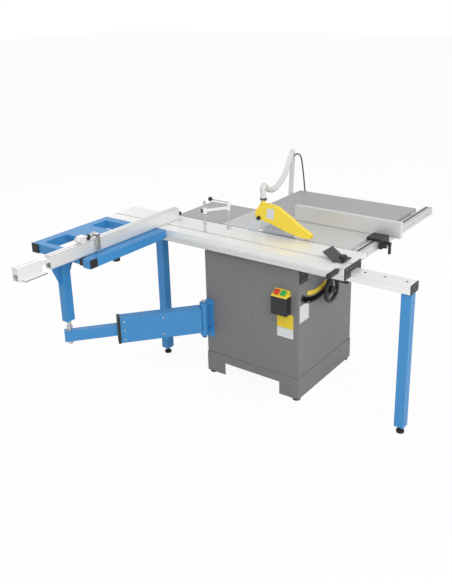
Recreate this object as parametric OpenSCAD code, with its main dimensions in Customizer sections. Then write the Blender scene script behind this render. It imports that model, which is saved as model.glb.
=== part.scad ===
/* [Table] */
// Height of the table surface above the floor
table_h = 850; // [800:5:900]
// Width of the main cast table
main_w = 338; // [300:2:380]
// Depth of the main and right tables
table_d = 800; // [720:10:860]
// Width of the right extension
right_w = 513; // [400:1:600]
// Depth of the rear extension
rear_d = 333; // [250:1:400]
// Depth of the table rims
rim_h = 45; // [35:1:55]
// Thickness of the table plates
plate_t = 10; // [6:1:14]
/* [Cabinet] */
// Width of the cabinet
cab_w = 590; // [540:5:640]
// Depth of the cabinet
cab_d = 604; // [560:2:640]
// Height of the plinth above its feet
plinth_h = 121; // [100:1:140]
// Height of the levelling feet
foot_h = 13; // [10:1:20]
// Gap between the cabinet top and the table surface
top_gap = 98; // [90:1:110]
// Wall of the cabinet sheet
sheet = 3; // [2:0.5:5]
// Distance of the cabinet front behind the table front
cab_front = 183; // [170:1:200]
// Distance of the cabinet side left of the blade
cab_left = 187; // [180:1:200]
/* [Carriage] */
// Width of the sliding carriage
car_w = 250; // [240:1:280]
// Length of the sliding carriage
car_len = 1580; // [1400:10:1800]
// Height of the carriage profile
car_h = 66; // [60:1:72]
// Overhang of the carriage in front of the table
car_front = 101; // [60:1:140]
// Length of the guide rail
rail_len = 1600; // [1500:10:1800]
// Width of the guide rail
rail_w = 82; // [76:2:90]
// Height of the guide rail
rail_h = 46; // [42:1:50]
// Diameter of the guide balls
ball_d = 10; // [9:0.5:10]
// Side of the square leg tube
leg_w = 50; // [40:2:60]
/* [Saw] */
// Diameter of the saw blade
blade_d = 250; // [230:5:254]
// Cutting height as drawn
cut_h = 73; // [65:1:78]
// Teeth on the blade
teeth = 40; // [24:4:60]
// Width of the cut
kerf = 2.8; // [2.4:0.1:3.2]
// Width of the blade guard
guard_w = 26; // [22:1:28]
// Diameter of the motor
motor_d = 150; // [130:2:156]
// Diameter of the handwheel
wheel_d = 150; // [130:2:170]
/* [Crosscut table] */
// Distance of the outer side left of the blade
out_left = 800; // [700:10:900]
// Side of the square frame tube
tube = 50; // [40:2:54]
// Depth of the crosscut frame
out_d = 421; // [380:1:460]
// Height of the crosscut fence
fence_h = 68; // [55:1:80]
// Thickness of the crosscut fence
fence_t = 40; // [30:1:44]
// Length of the crosscut fence
fence_len = 960; // [860:10:1000]
/* [Swing arm] */
// Height of the arm box
arm_h = 150; // [120:2:170]
// Width of the arm box
arm_w = 56; // [52:1:60]
// Length of the arm box from its pivot
arm_len = 470; // [400:5:480]
// Radius of the hinge pin
pin_r = 10; // [8:0.5:12]
/* [Rip fence] */
// Height of the rip fence
rip_h = 86; // [60:1:100]
// Length of the rip fence
rip_len = 640; // [560:10:700]
// Distance of the rip fence from the blade
rip_x = 280; // [120:5:300]
// Length of the rip fence rail
rip_rail_len = 930; // [860:10:1000]
/* [Hose] */
// Outer diameter of the hose
hose_d = 32; // [28:1:36]
// Spacing of the hose ribs
rib_pitch = 16; // [14:1:24]
/* [Hidden] */
$fn = 48;
run = 0.05;
gap = 0.3;
cab_z0 = foot_h + plinth_h;
cab_z1 = table_h - top_gap;
cab_x1 = cab_w - cab_left;
cab_y1 = cab_front + cab_d;
car_z = table_h - car_h;
rail_z = cab_z1 + 8;
rail_x = -140;
rail_y0 = -407;
rail_y1 = rail_y0 + rail_len;
rail_top = rail_z + rail_h;
slot_x = -168;
tab_x0 = 4;
tab_x1 = tab_x0 + main_w;
right_x1 = tab_x1 + right_w;
blade_y = 425;
arbor_z = table_h + cut_h - blade_d / 2;
motor_z = table_h - 240;
wheel_r0 = 300;
wheel_turn = 18.3;
wheel_x = wheel_r0 * sin(wheel_turn);
wheel_z = table_h - wheel_r0 * cos(wheel_turn);
guard_y = 540;
guard_z = table_h + 83;
fence_y = 1070;
fence_x1 = -60;
fence_x0 = fence_x1 - fence_len;
fence_z = table_h + 2;
ext_x0 = fence_x0 - 195;
out_y0 = 1060;
out_y1 = out_y0 + out_d;
out_z1 = table_h - 2;
out_z0 = out_z1 - tube;
arm_z = 360;
piv = [-235, 772];
post = [-800, 1250];
arm_a = atan2(post[1] - piv[1], post[0] - piv[0]);
arm_reach = norm(post - piv);
rod_cut = 392;
rip_rail_y = -70;
x_left = ext_x0;
x_right = rip_rail_len + 5;
saw_x = -(x_left + x_right) / 2;
cap_t = 5;
panel_t = 1.5;
sup_z = 1106;
saw_y = -(car_len - car_front + cap_t + rail_y0 - 6) / 2;

// A box between two corners
module span(a, b) translate(a) cube(b - a);
// Moves a piece from the blade line to the middle of the floor area
module at_saw() translate([saw_x, saw_y, 0]) children();
// A round bar along X
module bar_x(x0, x1, y, z, r) translate([x0, y, z]) rotate([0, 90, 0]) cylinder(r = r, h = x1 - x0);
// A round bar along Y
module bar_y(y0, y1, x, z, r) translate([x, y0, z]) rotate([-90, 0, 0]) cylinder(r = r, h = y1 - y0);
// A round bar along Z
module bar_z(z0, z1, x, y, r) translate([x, y, z0]) cylinder(r = r, h = z1 - z0);
// A square tube between two corners, hollow along the chosen axis
module box_tube(a, b, axis, t = 3) {
  m = [axis == 0 ? -1 : t, axis == 1 ? -1 : t, axis == 2 ? -1 : t];
  difference() {
    span(a, b);
    span(a + m, b - m);
  }
}
// A knob with flutes, its foot at the origin and its axis along Z
module knob(r, h) difference() {
  cylinder(r = r, h = h);
  for (a = [0:45:315]) rotate(a) translate([r * 1.16, 0, -1]) cylinder(r = r * 0.3, h = h + 2);
}
// An outline in the YZ plane given thickness along X
module side_plate(x0, x1) translate([x0, 0, 0]) rotate([90, 0, 90]) linear_extrude(x1 - x0) children();
// An outline in the XZ plane given length along Y
module long_profile(y0, y1) translate([0, y1, 0]) rotate([90, 0, 0]) linear_extrude(y1 - y0) children();

/* Cabinet and tables */
cut_y0 = cab_front + 117;
cut_y1 = cab_y1 - 121;
module plinth() at_saw() color("dimgray") difference() {
  span([-cab_left - 3, cab_front - 3, foot_h], [cab_x1 + 3, cab_y1 + 3, cab_z0]);
  span([-cab_left, cab_front, foot_h - 1], [cab_x1, cab_y1, cab_z0 - sheet]);
  span([-cab_left + 30, cab_front + 30, cab_z0 - 5], [cab_x1 - 30, cab_y1 - 30, cab_z0 + 1]);
  span([-cab_left - 9, cut_y0, foot_h - 1], [cab_x1 + 9, cut_y1, foot_h + 73]);
}
port_z = 500;
port_y = cab_y1 - 67;
dust_r = 50;
module slot_arc(r, w, a0, a1, y0, y1) translate([0, y1, table_h]) rotate([90, 0, 0])
  linear_extrude(y1 - y0) {
    intersection() {
      difference() {
        circle(r = r + w / 2, $fn = 160);
        circle(r = r - w / 2, $fn = 160);
      }
      polygon([[0, 0], 2 * r * [sin(a0), -cos(a0)], 3 * r * [0, -1], 2 * r * [sin(a1), -cos(a1)]]);
    }
    for (a = [a0, a1]) translate(r * [sin(a), -cos(a)]) circle(r = w / 2);
  }
slot_a0 = wheel_turn - 45 - 2;
slot_a1 = wheel_turn + 3;
post_y1 = min(cab_y1 - 15, table_d - 28);
lip = 30;
module cabinet() at_saw() color("gray") {
  in_x0 = -cab_left + sheet + gap;
  in_x1 = cab_x1 - sheet - gap;
  in_y0 = cab_front + sheet + gap;
  in_y1 = cab_y1 - sheet - gap;
  back_lip = cab_y1 - post_y1 + 15;
  difference() {
    span([-cab_left, cab_front, cab_z0], [cab_x1, cab_front + sheet, cab_z1]);
    slot_arc(wheel_r0, 26, slot_a0, slot_a1, cab_front - 1, cab_front + sheet + 1);
  }
  span([in_x0, cab_front, cab_z1 - sheet], [in_x1, cab_front + lip, cab_z1]);
  difference() {
    span([-cab_left, cab_y1 - sheet, cab_z0], [cab_x1, cab_y1, cab_z1]);
    bar_y(cab_y1 - 9, cab_y1 + 1, 110, 230, dust_r);
  }
  span([in_x0, cab_y1 - back_lip, cab_z1 - sheet], [in_x1, cab_y1, cab_z1]);
  difference() {
    bar_y(cab_y1, cab_y1 + 45, 110, 230, dust_r + 2);
    bar_y(cab_y1 - 1, cab_y1 + 46, 110, 230, dust_r);
  }
  span([-cab_left, in_y0, cab_z0], [-cab_left + sheet, in_y1, cab_z1]);
  span([-cab_left, cab_front + lip + gap, cab_z1 - sheet], [-cab_left + 8, cab_y1 - back_lip - gap, cab_z1]);
  span([-cab_left - panel_t, cab_front + 304, cab_z0 + 6], [-cab_left, cab_y1 - 6, cab_z1 - 10]);
  difference() {
    span([cab_x1 - sheet, in_y0, cab_z0], [cab_x1, in_y1, cab_z1]);
    bar_x(cab_x1 - 9, cab_x1 + 1, port_y, port_z, 12);
  }
  span([cab_x1 - lip, cab_front + lip + gap, cab_z1 - sheet], [cab_x1, cab_y1 - back_lip - gap, cab_z1]);
  difference() {
    bar_x(cab_x1, cab_x1 + 26, port_y, port_z, 14);
    bar_x(cab_x1 - 1, cab_x1 + 27, port_y, port_z, 12);
  }
}
module levelling_feet() at_saw() color("black") {
  for (x = [-cab_left + 22, cab_x1 - 22], y = [cab_front + 22, cab_y1 - 22]) {
    bar_z(0, foot_h - 3, x, y, 22);
    bar_z(foot_h - 3, cab_z0 - sheet, x, y, 5);
  }
  for (y = [rail_y0 + 25, rail_y1 - 49]) {
    bar_z(0, 12, rail_x, y, 20);
    bar_z(12, leg_z, rail_x, y, 6);
  }
}
module main_table() at_saw() color("silver") {
  difference() {
    span([tab_x0, 0, table_h - rim_h], [tab_x1, table_d, table_h]);
    span([tab_x0 - 1, 12, table_h - rim_h - 1], [tab_x1 - 12, table_d - 12, table_h - plate_t]);
    span([tab_x0 - 1, blade_y - 150, table_h - plate_t - 1], [tab_x0 + 40, blade_y + 220, table_h + 1]);
  }
  span([tab_x0, blade_y - 150, table_h - 6], [tab_x0 + 40, blade_y + 220, table_h - 0.5]);
  for (y = [210, table_d - 190]) span([90, y, table_h - 35], [tab_x1 - 12, y + 8, table_h - plate_t]);
  for (x = [tab_x0 + 50, tab_x1 - 42], y = [cab_front + 15, post_y1])
    bar_z(cab_z1, table_h - plate_t, x, y, 13);
}
module right_extension() at_saw() color("darkgray") {
  difference() {
    span([tab_x1, 0, table_h - rim_h], [right_x1, table_d, table_h]);
    span([tab_x1 + 4, 4, table_h - rim_h - 1], [right_x1 - 4, table_d - 4, table_h - 4]);
  }
  for (y = [260, 520]) span([tab_x1 + 4, y, table_h - 30], [right_x1 - 4, y + 30, table_h - 4]);
}
module rear_extension() at_saw() color("dimgray") difference() {
  span([tab_x0, table_d, table_h - rim_h], [tab_x1, table_d + rear_d, table_h]);
  span([tab_x0 + 4, table_d + 4, table_h - rim_h - 1], [tab_x1 - 4, table_d + rear_d - 4, table_h - 4]);
}
rip_z0 = table_h - 45;
rip_z1 = table_h - 3;
module rip_rail() at_saw() color("silver") {
  difference() {
    span([0, rip_rail_y, rip_z0], [rip_rail_len, rip_rail_y + 45, rip_z1]);
    span([-1, rip_rail_y + 5, rip_z0 + 5], [rip_rail_len + 1, rip_rail_y + 40, rip_z0 + 18]);
    span([-1, rip_rail_y + 5, rip_z0 + 23], [rip_rail_len + 1, rip_rail_y + 40, rip_z1 - 4]);
    span([-1, rip_rail_y - 1, rip_z0 + 19], [rip_rail_len + 1, rip_rail_y + 2, rip_z0 + 22]);
  }
  span([rip_rail_len, rip_rail_y, rip_z0], [rip_rail_len + 5, rip_rail_y + 45, rip_z1]);
  for (x = [60, 300, 540, 780]) span([x, rip_rail_y + 45, rip_z0 + 6], [x + 40, 0, rip_z1 - 10]);
}

/* Guide rail and its supports */
ball_z = rail_top - 13;
side_x = rail_w / 2 + 2;
module carriage_rail() at_saw() color("silver") difference() {
  long_profile(rail_y0, rail_y1) translate([rail_x, rail_z]) difference() {
    translate([-rail_w / 2, 0]) square([rail_w, rail_h]);
    translate([-rail_w / 2 + 9, 5]) square([rail_w - 18, 14]);
    translate([-rail_w / 2 + 16, 24]) square([rail_w - 32, rail_h - 31]);
    for (s = [-1, 1]) translate([s * side_x, ball_z - rail_z]) circle(r = ball_d / 2 + gap);
  }
  for (y = [rail_y0 + 60:180:rail_y1 - 40]) bar_z(rail_top - 3, rail_top + 1, rail_x - 12, y, 6);
}
module rail_fittings() at_saw() color("black") {
  for (y = [rail_y0 - 6, rail_y1]) span([rail_x - rail_w / 2, y, rail_z], [rail_x + rail_w / 2, y + 6, rail_top]);
  bar_z(rail_z - 14, rail_z, rail_x + rail_w / 2 - 9, rail_y0 + leg_w + 12, 9);
  for (y = [cab_front, cab_y1 - 46])
    span([rail_x - 38, y, cab_z1], [rail_x + 38, y + 46, rail_z]);
  difference() {
    span([rail_x - 38, cab_front - 5, cab_z1 - 74], [rail_x + 38, cab_front, rail_z]);
    for (x = [-18, 18]) bar_y(cab_front - 6, cab_front - 2, rail_x + x, cab_z1 - 40, 7);
  }
}
leg_z = 37;
module support_legs() at_saw() color("steelblue") for (y = [rail_y0, rail_y1 - 74]) {
  box_tube([rail_x - leg_w / 2, y, leg_z], [rail_x + leg_w / 2, y + leg_w, rail_z], 3);
  span([rail_x - leg_w / 2, y, leg_z], [rail_x + leg_w / 2, y + leg_w, leg_z + 4]);
}

/* Switch and scale */
sw_y = cab_front + 94;
module switch_box() at_saw() color("black") {
  difference() {
    span([-cab_left - 45, sw_y - 47, 505], [-cab_left, sw_y + 47, 606]);
    span([-cab_left - 42, sw_y - 44, 508], [-cab_left - 3, sw_y + 44, 607]);
  }
}
sw_tilt = 35;
module on_cover() translate([-cab_left - 46, sw_y, 608]) rotate([0, -sw_tilt, 0]) children();
module switch_cover() at_saw() color("gold") difference() {
  hull() {
    span([-cab_left - 46, sw_y - 47, 606], [-cab_left, sw_y + 47, 608]);
    span([-cab_left - 2, sw_y - 42, 606], [-cab_left, sw_y + 42, 636]);
  }
  for (s = [-1, 1]) on_cover() translate([26, s * 20, -40]) cylinder(r = 11, h = 60);
}
module button(s) at_saw() on_cover() translate([26, s * 20, -6]) cylinder(r = 10.6, h = 12);
module start_button() color("green") button(-1);
module stop_button() color("red") button(1);
module tilt_scale() at_saw() {
  color("gold") slot_arc(wheel_r0 - 36, 24, wheel_turn - 38, wheel_turn + 2, cab_front - 2, cab_front);
  color("black") difference() {
    slot_arc(wheel_r0, 40, slot_a0, slot_a1, cab_front - 3, cab_front);
    slot_arc(wheel_r0, 26, slot_a0, slot_a1, cab_front - 4, cab_front + 1);
  }
}

/* Tilt and lift mechanism */
tr_y = [cab_front + 50, post_y1 - 75];
module ring(r0, r1, a0, a1, y0, y1) translate([0, y1, table_h]) rotate([90, 0, 0])
  linear_extrude(y1 - y0) intersection() {
    difference() {
      circle(r = r1, $fn = 96);
      circle(r = r0, $fn = 96);
    }
    polygon([[0, 0], 3 * r1 * [sin(a0), -cos(a0)], 4 * r1 * [sin((a0 + a1) / 2), -cos((a0 + a1) / 2)],
      3 * r1 * [sin(a1), -cos(a1)]]);
  }
tr_w = 20;
flange_t = 6;
plate_y = [tr_y[0] + flange_t + gap, tr_y[1]];
plate_w = tr_w - flange_t - gap;
seg_r0 = 78;
seg_r1 = 92;
seg_r2 = 112;
module trunnion(y, flange_y) {
  translate([0, y, table_h]) rotate([-90, 0, 0]) rotate(11) rotate_extrude(angle = 115, $fn = 96) {
    translate([seg_r0, 0]) square([seg_r1 - seg_r0, tr_w]);
    translate([seg_r0, flange_y]) square([seg_r2 - seg_r0, flange_t]);
  }
  span([55, y + 1, table_h - 24], [89, y + tr_w - 1, table_h - plate_t]);
}
module trunnions() at_saw() color("dimgray") {
  trunnion(tr_y[0], 0);
  trunnion(tr_y[1], tr_w - flange_t);
}
module tilt_cradle() at_saw() color("darkslategray") difference() {
  union() {
    for (y = plate_y) {
      ring(92.3, 150, 3, 72, y, y + plate_w);
      span([60, y, table_h - 300], [116, y + plate_w, table_h - 110]);
      span([66, y, table_h - 120], [86, y + plate_w, table_h - 65]);
    }
    span([70, plate_y[0] + plate_w, table_h - 305], [82, plate_y[1], table_h - 285]);
    span([66, plate_y[0] + plate_w, table_h - 82], [86, blade_y - 95, table_h - 65]);
    span([66, blade_y + 95, table_h - 82], [86, plate_y[1], table_h - 65]);
    for (y = [blade_y - 110, blade_y + 110]) bar_z(table_h - 290, table_h - 66, 76, y, 6);
  }
  bar_y(tr_y[0], tr_y[0] + 30, wheel_x, wheel_z, 8 + run);
}
module lift_casting() at_saw() color("slategray") {
  difference() {
    span([14, blade_y - 38, arbor_z - 38], [94, blade_y + 38, arbor_z + 28]);
    bar_x(10, 100, blade_y, arbor_z, 15 + run);
  }
  difference() {
    for (y = [blade_y - 110, blade_y + 110])
      span([60, y - 16, arbor_z - 125], [92, y + 16, arbor_z - 45]);
    for (y = [blade_y - 110, blade_y + 110]) bar_z(arbor_z - 200, arbor_z, 76, y, 6 + run);
  }
  span([84, blade_y - 94, arbor_z - 120], [92, blade_y + 94, arbor_z - 38]);
  span([2, blade_y + 38, arbor_z - 38], [20, blade_y + 38 + 160, arbor_z - 20]);
  span([1, blade_y + 140, arbor_z - 38], [14, blade_y + 198, arbor_z - 8]);
  span([84, blade_y - 60, motor_z - 20], [92, blade_y + 60, arbor_z - 120]);
}
module motor() at_saw() color("steelblue") {
  difference() {
    union() {
      bar_x(132, 330, blade_y, motor_z, motor_d / 2 - 6);
      for (a = [0:15:345]) translate([150, blade_y, motor_z]) rotate([a, 0, 0])
        translate([0, -1.5, 0]) cube([150, 3, motor_d / 2]);
    }
    bar_x(120, 150, blade_y, motor_z, 12 + run);
  }
  difference() {
    span([92, blade_y - 60, motor_z - 20], [96, blade_y + 60, motor_z + 60]);
    bar_x(90, 100, blade_y, motor_z, 50);
  }
  for (y = [blade_y - 58, blade_y + 50]) span([96, y, motor_z - 15], [150, y + 8, motor_z + 15]);
}
belt_x = 101;
module belt_loop(grow) hull() {
  translate([blade_y, arbor_z]) circle(r = 30 + grow);
  translate([blade_y, motor_z]) circle(r = 44 + grow);
}
module drive_belt() at_saw() color("black") side_plate(belt_x, belt_x + 18) difference() {
  belt_loop(5);
  belt_loop(0.3);
}
module riving_knife() at_saw() color("lightgray") difference() {
  side_plate(-1, 1) polygon([[571, arbor_z - 38], [558, arbor_z], [556, table_h], [543, table_h + 35],
    [524, table_h + 78], [530, table_h + 95], [558, table_h + 95], [583, table_h + 79],
    [610, table_h + 43], [625, table_h], [625, arbor_z - 20], [610, arbor_z - 38]]);
  bar_x(-5, 5, guard_y, guard_z, 4 + run);
}
module saw_blade() at_saw() color("silver") translate([0, blade_y, arbor_z]) rotate([90, 0, 90]) {
  r = blade_d / 2;
  difference() {
    translate([0, 0, -0.9]) linear_extrude(1.8) difference() {
      polygon([for (i = [0:teeth - 1], s = [0:3]) let(a = (i + [0, 0.3, 0.42, 0.9][s]) * 360 / teeth,
        q = [r - 1, r - 4, r - 11, r - 10][s]) q * [cos(a), sin(a)]]);
      circle(r = 15 + run);
      for (a = [22:90:300]) rotate(a) {
        translate([r - 30, -1]) square([22, 2]);
        translate([r - 30, 0]) circle(r = 3);
      }
    }
  }
  for (i = [0:teeth - 1]) rotate(i * 360 / teeth) translate([r - 8, -2.2, -kerf / 2])
    cube([8, 2.2, kerf]);
}
module arbor() at_saw() color("gainsboro") {
  bar_x(-18, -0.9, blade_y, arbor_z, 8);
  bar_x(-0.9, 0.9, blade_y, arbor_z, 15);
  bar_x(0.9, 13, blade_y, arbor_z, 22);
  bar_x(-5, -0.9, blade_y, arbor_z, 22);
  translate([-15, blade_y, arbor_z]) rotate([0, 90, 0]) cylinder(r = 12, h = 10, $fn = 6);
  bar_x(13, 122, blade_y, arbor_z, 15);
  bar_x(belt_x, belt_x + 18, blade_y, arbor_z, 30);
}
module motor_pulley() at_saw() color("dimgray") {
  bar_x(belt_x, belt_x + 18, blade_y, motor_z, 44);
  bar_x(belt_x + 18, 149, blade_y, motor_z, 12);
}
wheel_y = cab_front - 38;
module handwheel() at_saw() color("black") {
  translate([wheel_x, wheel_y, wheel_z]) rotate([-90, 0, 0]) {
    rotate_extrude() translate([wheel_d / 2 - 11, 0]) circle(r = 11);
    for (a = [30:120:270]) rotate(a) translate([12, -9, -4]) cube([wheel_d / 2 - 25, 18, 8]);
    difference() {
      translate([0, 0, -12]) cylinder(r = 20, h = 26);
      rotate(0) translate([0, 0, -13]) cylinder(r = 8, h = 5);
    }
  }
  bar_y(wheel_y + 14, tr_y[0] + 34, wheel_x, wheel_z, 8);
  bar_y(tr_y[0] + 20.3, tr_y[0] + 34, wheel_x, wheel_z, 11);
  bar_y(wheel_y - 100, wheel_y, wheel_x, wheel_z + wheel_d / 2 - 11, 5);
}
module wheel_grip() at_saw() color("black")
  translate([wheel_x, wheel_y - 98, wheel_z + wheel_d / 2 - 11]) rotate([-90, 0, 0])
    rotate_extrude() polygon([[5 + run, 0], [9, 0], [12, 8], [11, 40], [8, 82], [5 + run, 82]]);

/* Guard */
guard_line = [[guard_y + 29, 102], [guard_y + 15, 133], [guard_y, 148], [guard_y - 5, 164], [guard_y - 63, 168],
  [guard_y - 115, 159], [guard_y - 190, 115], [guard_y - 252, 75], [guard_y - 325, 38], [guard_y - 325, 26],
  [guard_y - 317, 17], [guard_y - 289, 16], [guard_y - 252, 17], [guard_y - 159, 36], [guard_y - 75, 62],
  [guard_y - 17, 72], [guard_y + 20, 75], [guard_y + 24, 92]];
spigot_y = guard_y - 20;
module guard_shape() polygon([for (q = guard_line) [q[0], table_h + q[1]]]);
module blade_guard() at_saw() color("gold") difference() {
  union() {
    side_plate(-guard_w / 2, guard_w / 2) guard_shape();
    bar_z(table_h + 160, table_h + 182, 0, spigot_y, 13);
  }
  side_plate(-guard_w / 2 + 2, guard_w / 2 - 2) translate([0, -5]) guard_shape();
  bar_z(table_h + 140, table_h + 183, 0, spigot_y, 10.5);
  bar_x(-guard_w, guard_w, guard_y, guard_z, 4 + run);
}
module guard_knob() at_saw() color("black") {
  bar_x(-guard_w / 2 - 0.3, guard_w / 2 + 0.3, guard_y, guard_z, 4);
  translate([-guard_w / 2 - 0.3, guard_y, guard_z]) rotate([0, -90, 0]) knob(11, 12);
  translate([guard_w / 2 + 0.3, guard_y, guard_z]) rotate([0, 90, 0]) cylinder(r = 7, h = 5, $fn = 6);
}

/* Hose: centre line points chosen along its route, from the guard to the cabinet */
hose_points = [[0, 520, 1032], [0, 520, 1064], [-2, 522, 1090], [22, 530, 1106], [70, 552, 1088],
  [130, 576, 1056], [200, 600, 1032], [290, 632, 1018], [390, 666, 1020], [480, 696, 1034], [550, 720, 1054],
  [620, 744, 1086], [690, 770, 1118], [745, 795, 1130], [790, 818, 1104], [800, 826, 1050], [796, 830, 960],
  [786, 830, 840], [768, 826, 700], [720, 805, 590], [640, 766, 525], [550, 734, 500], [470, 720, 500],
  [430, 720, 500]];
hose_cuts = [0, 3, 6, 9, 13, 23];
function curve(i, t) = let(n = len(hose_points) - 1, a = hose_points[max(i - 1, 0)], b = hose_points[i],
  c = hose_points[min(i + 1, n)], d = hose_points[min(i + 2, n)])
  0.5 * (2 * b + (c - a) * t + (2 * a - 5 * b + 4 * c - d) * t * t + (3 * b - a - 3 * c + d) * t * t * t);
function unit(v) = v / norm(v);
function lane(i0, i1) = [for (i = [i0:i1 - 1]) let(n = max(2, 2 * round(norm(hose_points[i + 1] - hose_points[i]) / rib_pitch)))
  for (k = [0:n - 1]) curve(i, k / n)];
function stretch(i0, i1) = concat(lane(i0, i1), [hose_points[i1]]);
function turned(u, t) = unit(u - (u * t) * t);
function frames(t, i = 0, u = [1, 0.2, 0]) = i >= len(t) ? [] :
  let(v = turned(u, t[i])) concat([v], frames(t, i + 1, v));
function tangents(p) = [for (i = [0:len(p) - 1]) unit(p[min(i + 1, len(p) - 1)] - p[max(i - 1, 0)])];
module hose_tube(i0, i1) {
  all_p = stretch(0, len(hose_points) - 1);
  all_t = tangents(all_p);
  all_u = frames(all_t);
  first = len(lane(0, i0));
  last = len(lane(0, i1));
  m = last - first + 1;
  sides = 8;
  outer = [for (j = [first:last], s = [0:sides - 1]) let(r = hose_d / 2 - (j % 2) * 2,
    w = cross(all_t[j], all_u[j]), a = s * 360 / sides) all_p[j] + r * (cos(a) * all_u[j] + sin(a) * w)];
  inner = [for (j = [first:last], s = [0:sides - 1]) let(r = hose_d / 2 - 4,
    w = cross(all_t[j], all_u[j]), a = s * 360 / sides) all_p[j] + r * (cos(a) * all_u[j] + sin(a) * w)];
  k = m * sides;
  walls = [for (j = [0:m - 2], s = [0:sides - 1]) let(a = j * sides + s, b = j * sides + (s + 1) % sides)
    each [[a, b + sides, b], [a, a + sides, b + sides],
      [k + a, k + b, k + b + sides], [k + a, k + b + sides, k + a + sides]]];
  ends = [for (s = [0:sides - 1]) let(n = (s + 1) % sides, e = (m - 1) * sides)
    each [[s, n, k + n], [s, k + n, k + s], [e + s, k + e + n, e + n], [e + s, k + e + s, k + e + n]]];
  polyhedron(points = concat(outer, inner), faces = concat(walls, ends));
}
module hose_guard() at_saw() color("whitesmoke") hose_tube(hose_cuts[0], hose_cuts[1]);
module hose_bend() at_saw() color("whitesmoke") hose_tube(hose_cuts[1], hose_cuts[2]);
module hose_sag() at_saw() color("whitesmoke") hose_tube(hose_cuts[2], hose_cuts[3]);
module hose_rise() at_saw() color("whitesmoke") hose_tube(hose_cuts[3], hose_cuts[4]);
module hose_drop() at_saw() color("whitesmoke") hose_tube(hose_cuts[4], hose_cuts[5]);
sup_x = right_x1 + 8;
sup_y = table_d - 32;
module hose_support() at_saw() color("black") {
  span([right_x1, sup_y - 15, table_h - 40], [right_x1 + 3, sup_y + 15, table_h - 10]);
  bar_z(table_h - 40, sup_z + 8, sup_x, sup_y, 5);
  translate([sup_x, sup_y, sup_z]) rotate([0, 90, 158]) cylinder(r = 4.5, h = 80);
}

/* Sliding carriage */
car_x1 = rail_x + 64;
wall_x = rail_w / 2 + 4;
lip_z = table_h - 12;
module carriage_shape() difference() {
  polygon([[-car_w, table_h], [-car_w, table_h - 29], [-car_w + 5, table_h - 29], [-car_w + 5, table_h - 37],
    [-car_w, table_h - 37], [-car_w, table_h - 58], [-car_w + 4, table_h - 58], [-car_w + 4, car_z],
    [rail_x - wall_x, car_z], [rail_x - wall_x, rail_top + 9], [rail_x + wall_x, rail_top + 9],
    [rail_x + wall_x, car_z], [car_x1 - 6, car_z], [car_x1, car_z + 6], [car_x1, lip_z], [-18, lip_z],
    [-5, table_h - 1.5], [-5, table_h]]);
  for (s = [-1, 1]) translate([rail_x + s * side_x, ball_z]) circle(r = ball_d / 2 + gap);
  translate([slot_x - 5, table_h - 5]) square([10, 6]);
  translate([slot_x - 10, table_h - 14]) square([20, 9.5]);
  translate([-car_w + 10, car_z + 6]) square([44, 46]);
  translate([-150, table_h - 30]) square([62, 22]);
  translate([-39, table_h - 1]) square([2, 2]);
}
module carriage_table() at_saw() color("gainsboro") difference() {
  long_profile(-car_front, car_len - car_front) carriage_shape();
  bar_z(table_h - 12, table_h + 1, fence_x1 - 60, fence_y + fence_t / 2, 6 + run);
}
module carriage_caps() at_saw() color("dimgray") for (y = [-car_front - cap_t, car_len - car_front])
  long_profile(y, y + cap_t) difference() {
    translate([-car_w + 5, car_z + 3]) square([car_x1 + car_w - 5, car_h - 7]);
    translate([rail_x - wall_x, car_z - 1]) square([2 * wall_x, rail_top + 10 - car_z]);
  }
module push_handle() at_saw() color("black") {
  bar_x(-car_w - 12, -car_w, -car_front + 30, table_h - 14, 8);
  translate([-car_w - 12, -car_front + 30, table_h - 14]) rotate([0, -90, 0]) rotate_extrude()
    polygon([[0, 0], [11, 0], [14, 6], [13, 45], [14, 80], [11, 90], [0, 90]]);
}
cage_y0 = 100;
cage_len = 700;
module ball_cages() at_saw() for (s = [-1, 1]) {
  color("dimgray") difference() {
    span([rail_x + s * side_x - 1, cage_y0, ball_z - 5.9], [rail_x + s * side_x + 1, cage_y0 + cage_len, ball_z + 5.9]);
    for (y = [cage_y0 + 30:80:cage_y0 + cage_len - 20]) bar_x(rail_x - 60, rail_x + 60, y, ball_z, ball_d / 2 - 1);
  }
  color("silver") for (y = [cage_y0 + 30:80:cage_y0 + cage_len - 20])
    translate([rail_x + s * side_x, y, ball_z]) sphere(r = ball_d / 2);
}

/* Crosscut frame */
module outrigger_frame() at_saw() color("steelblue") {
  for (y = [out_y0, out_y1 - tube]) span([-out_left, y, out_z0], [-car_w, y + tube, out_z1]);
  span([-out_left, out_y0 + tube, out_z0], [-out_left + 40, out_y1 - tube, out_z1]);
  span([-car_w - tube, out_y0 + tube, out_z0], [-car_w, out_y1 - tube, out_z1]);
  span([-out_left + 195, out_y0 + tube, out_z1 - 20], [-out_left + 385, out_y1 - tube, out_z1]);
  span([-out_left - 28, out_y0 - tube, out_z0 + 2], [-car_w, out_y0, out_z1]);
}
module outrigger_caps() at_saw() color("black") {
  for (y = [out_y0, out_y1 - tube])
    span([-out_left - 7, y + 0.3, out_z0 - 1], [-out_left, y + tube, out_z1 + 1]);
  span([-out_left - 27, out_y0 - tube - 3, out_z0 + 3], [-out_left + 22, out_y0 - tube, out_z1 - 1]);
  translate([-out_left + 180, out_y0 - tube / 2, out_z0 + 2]) rotate([180, 0, 0]) knob(20, 22);
}
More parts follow.
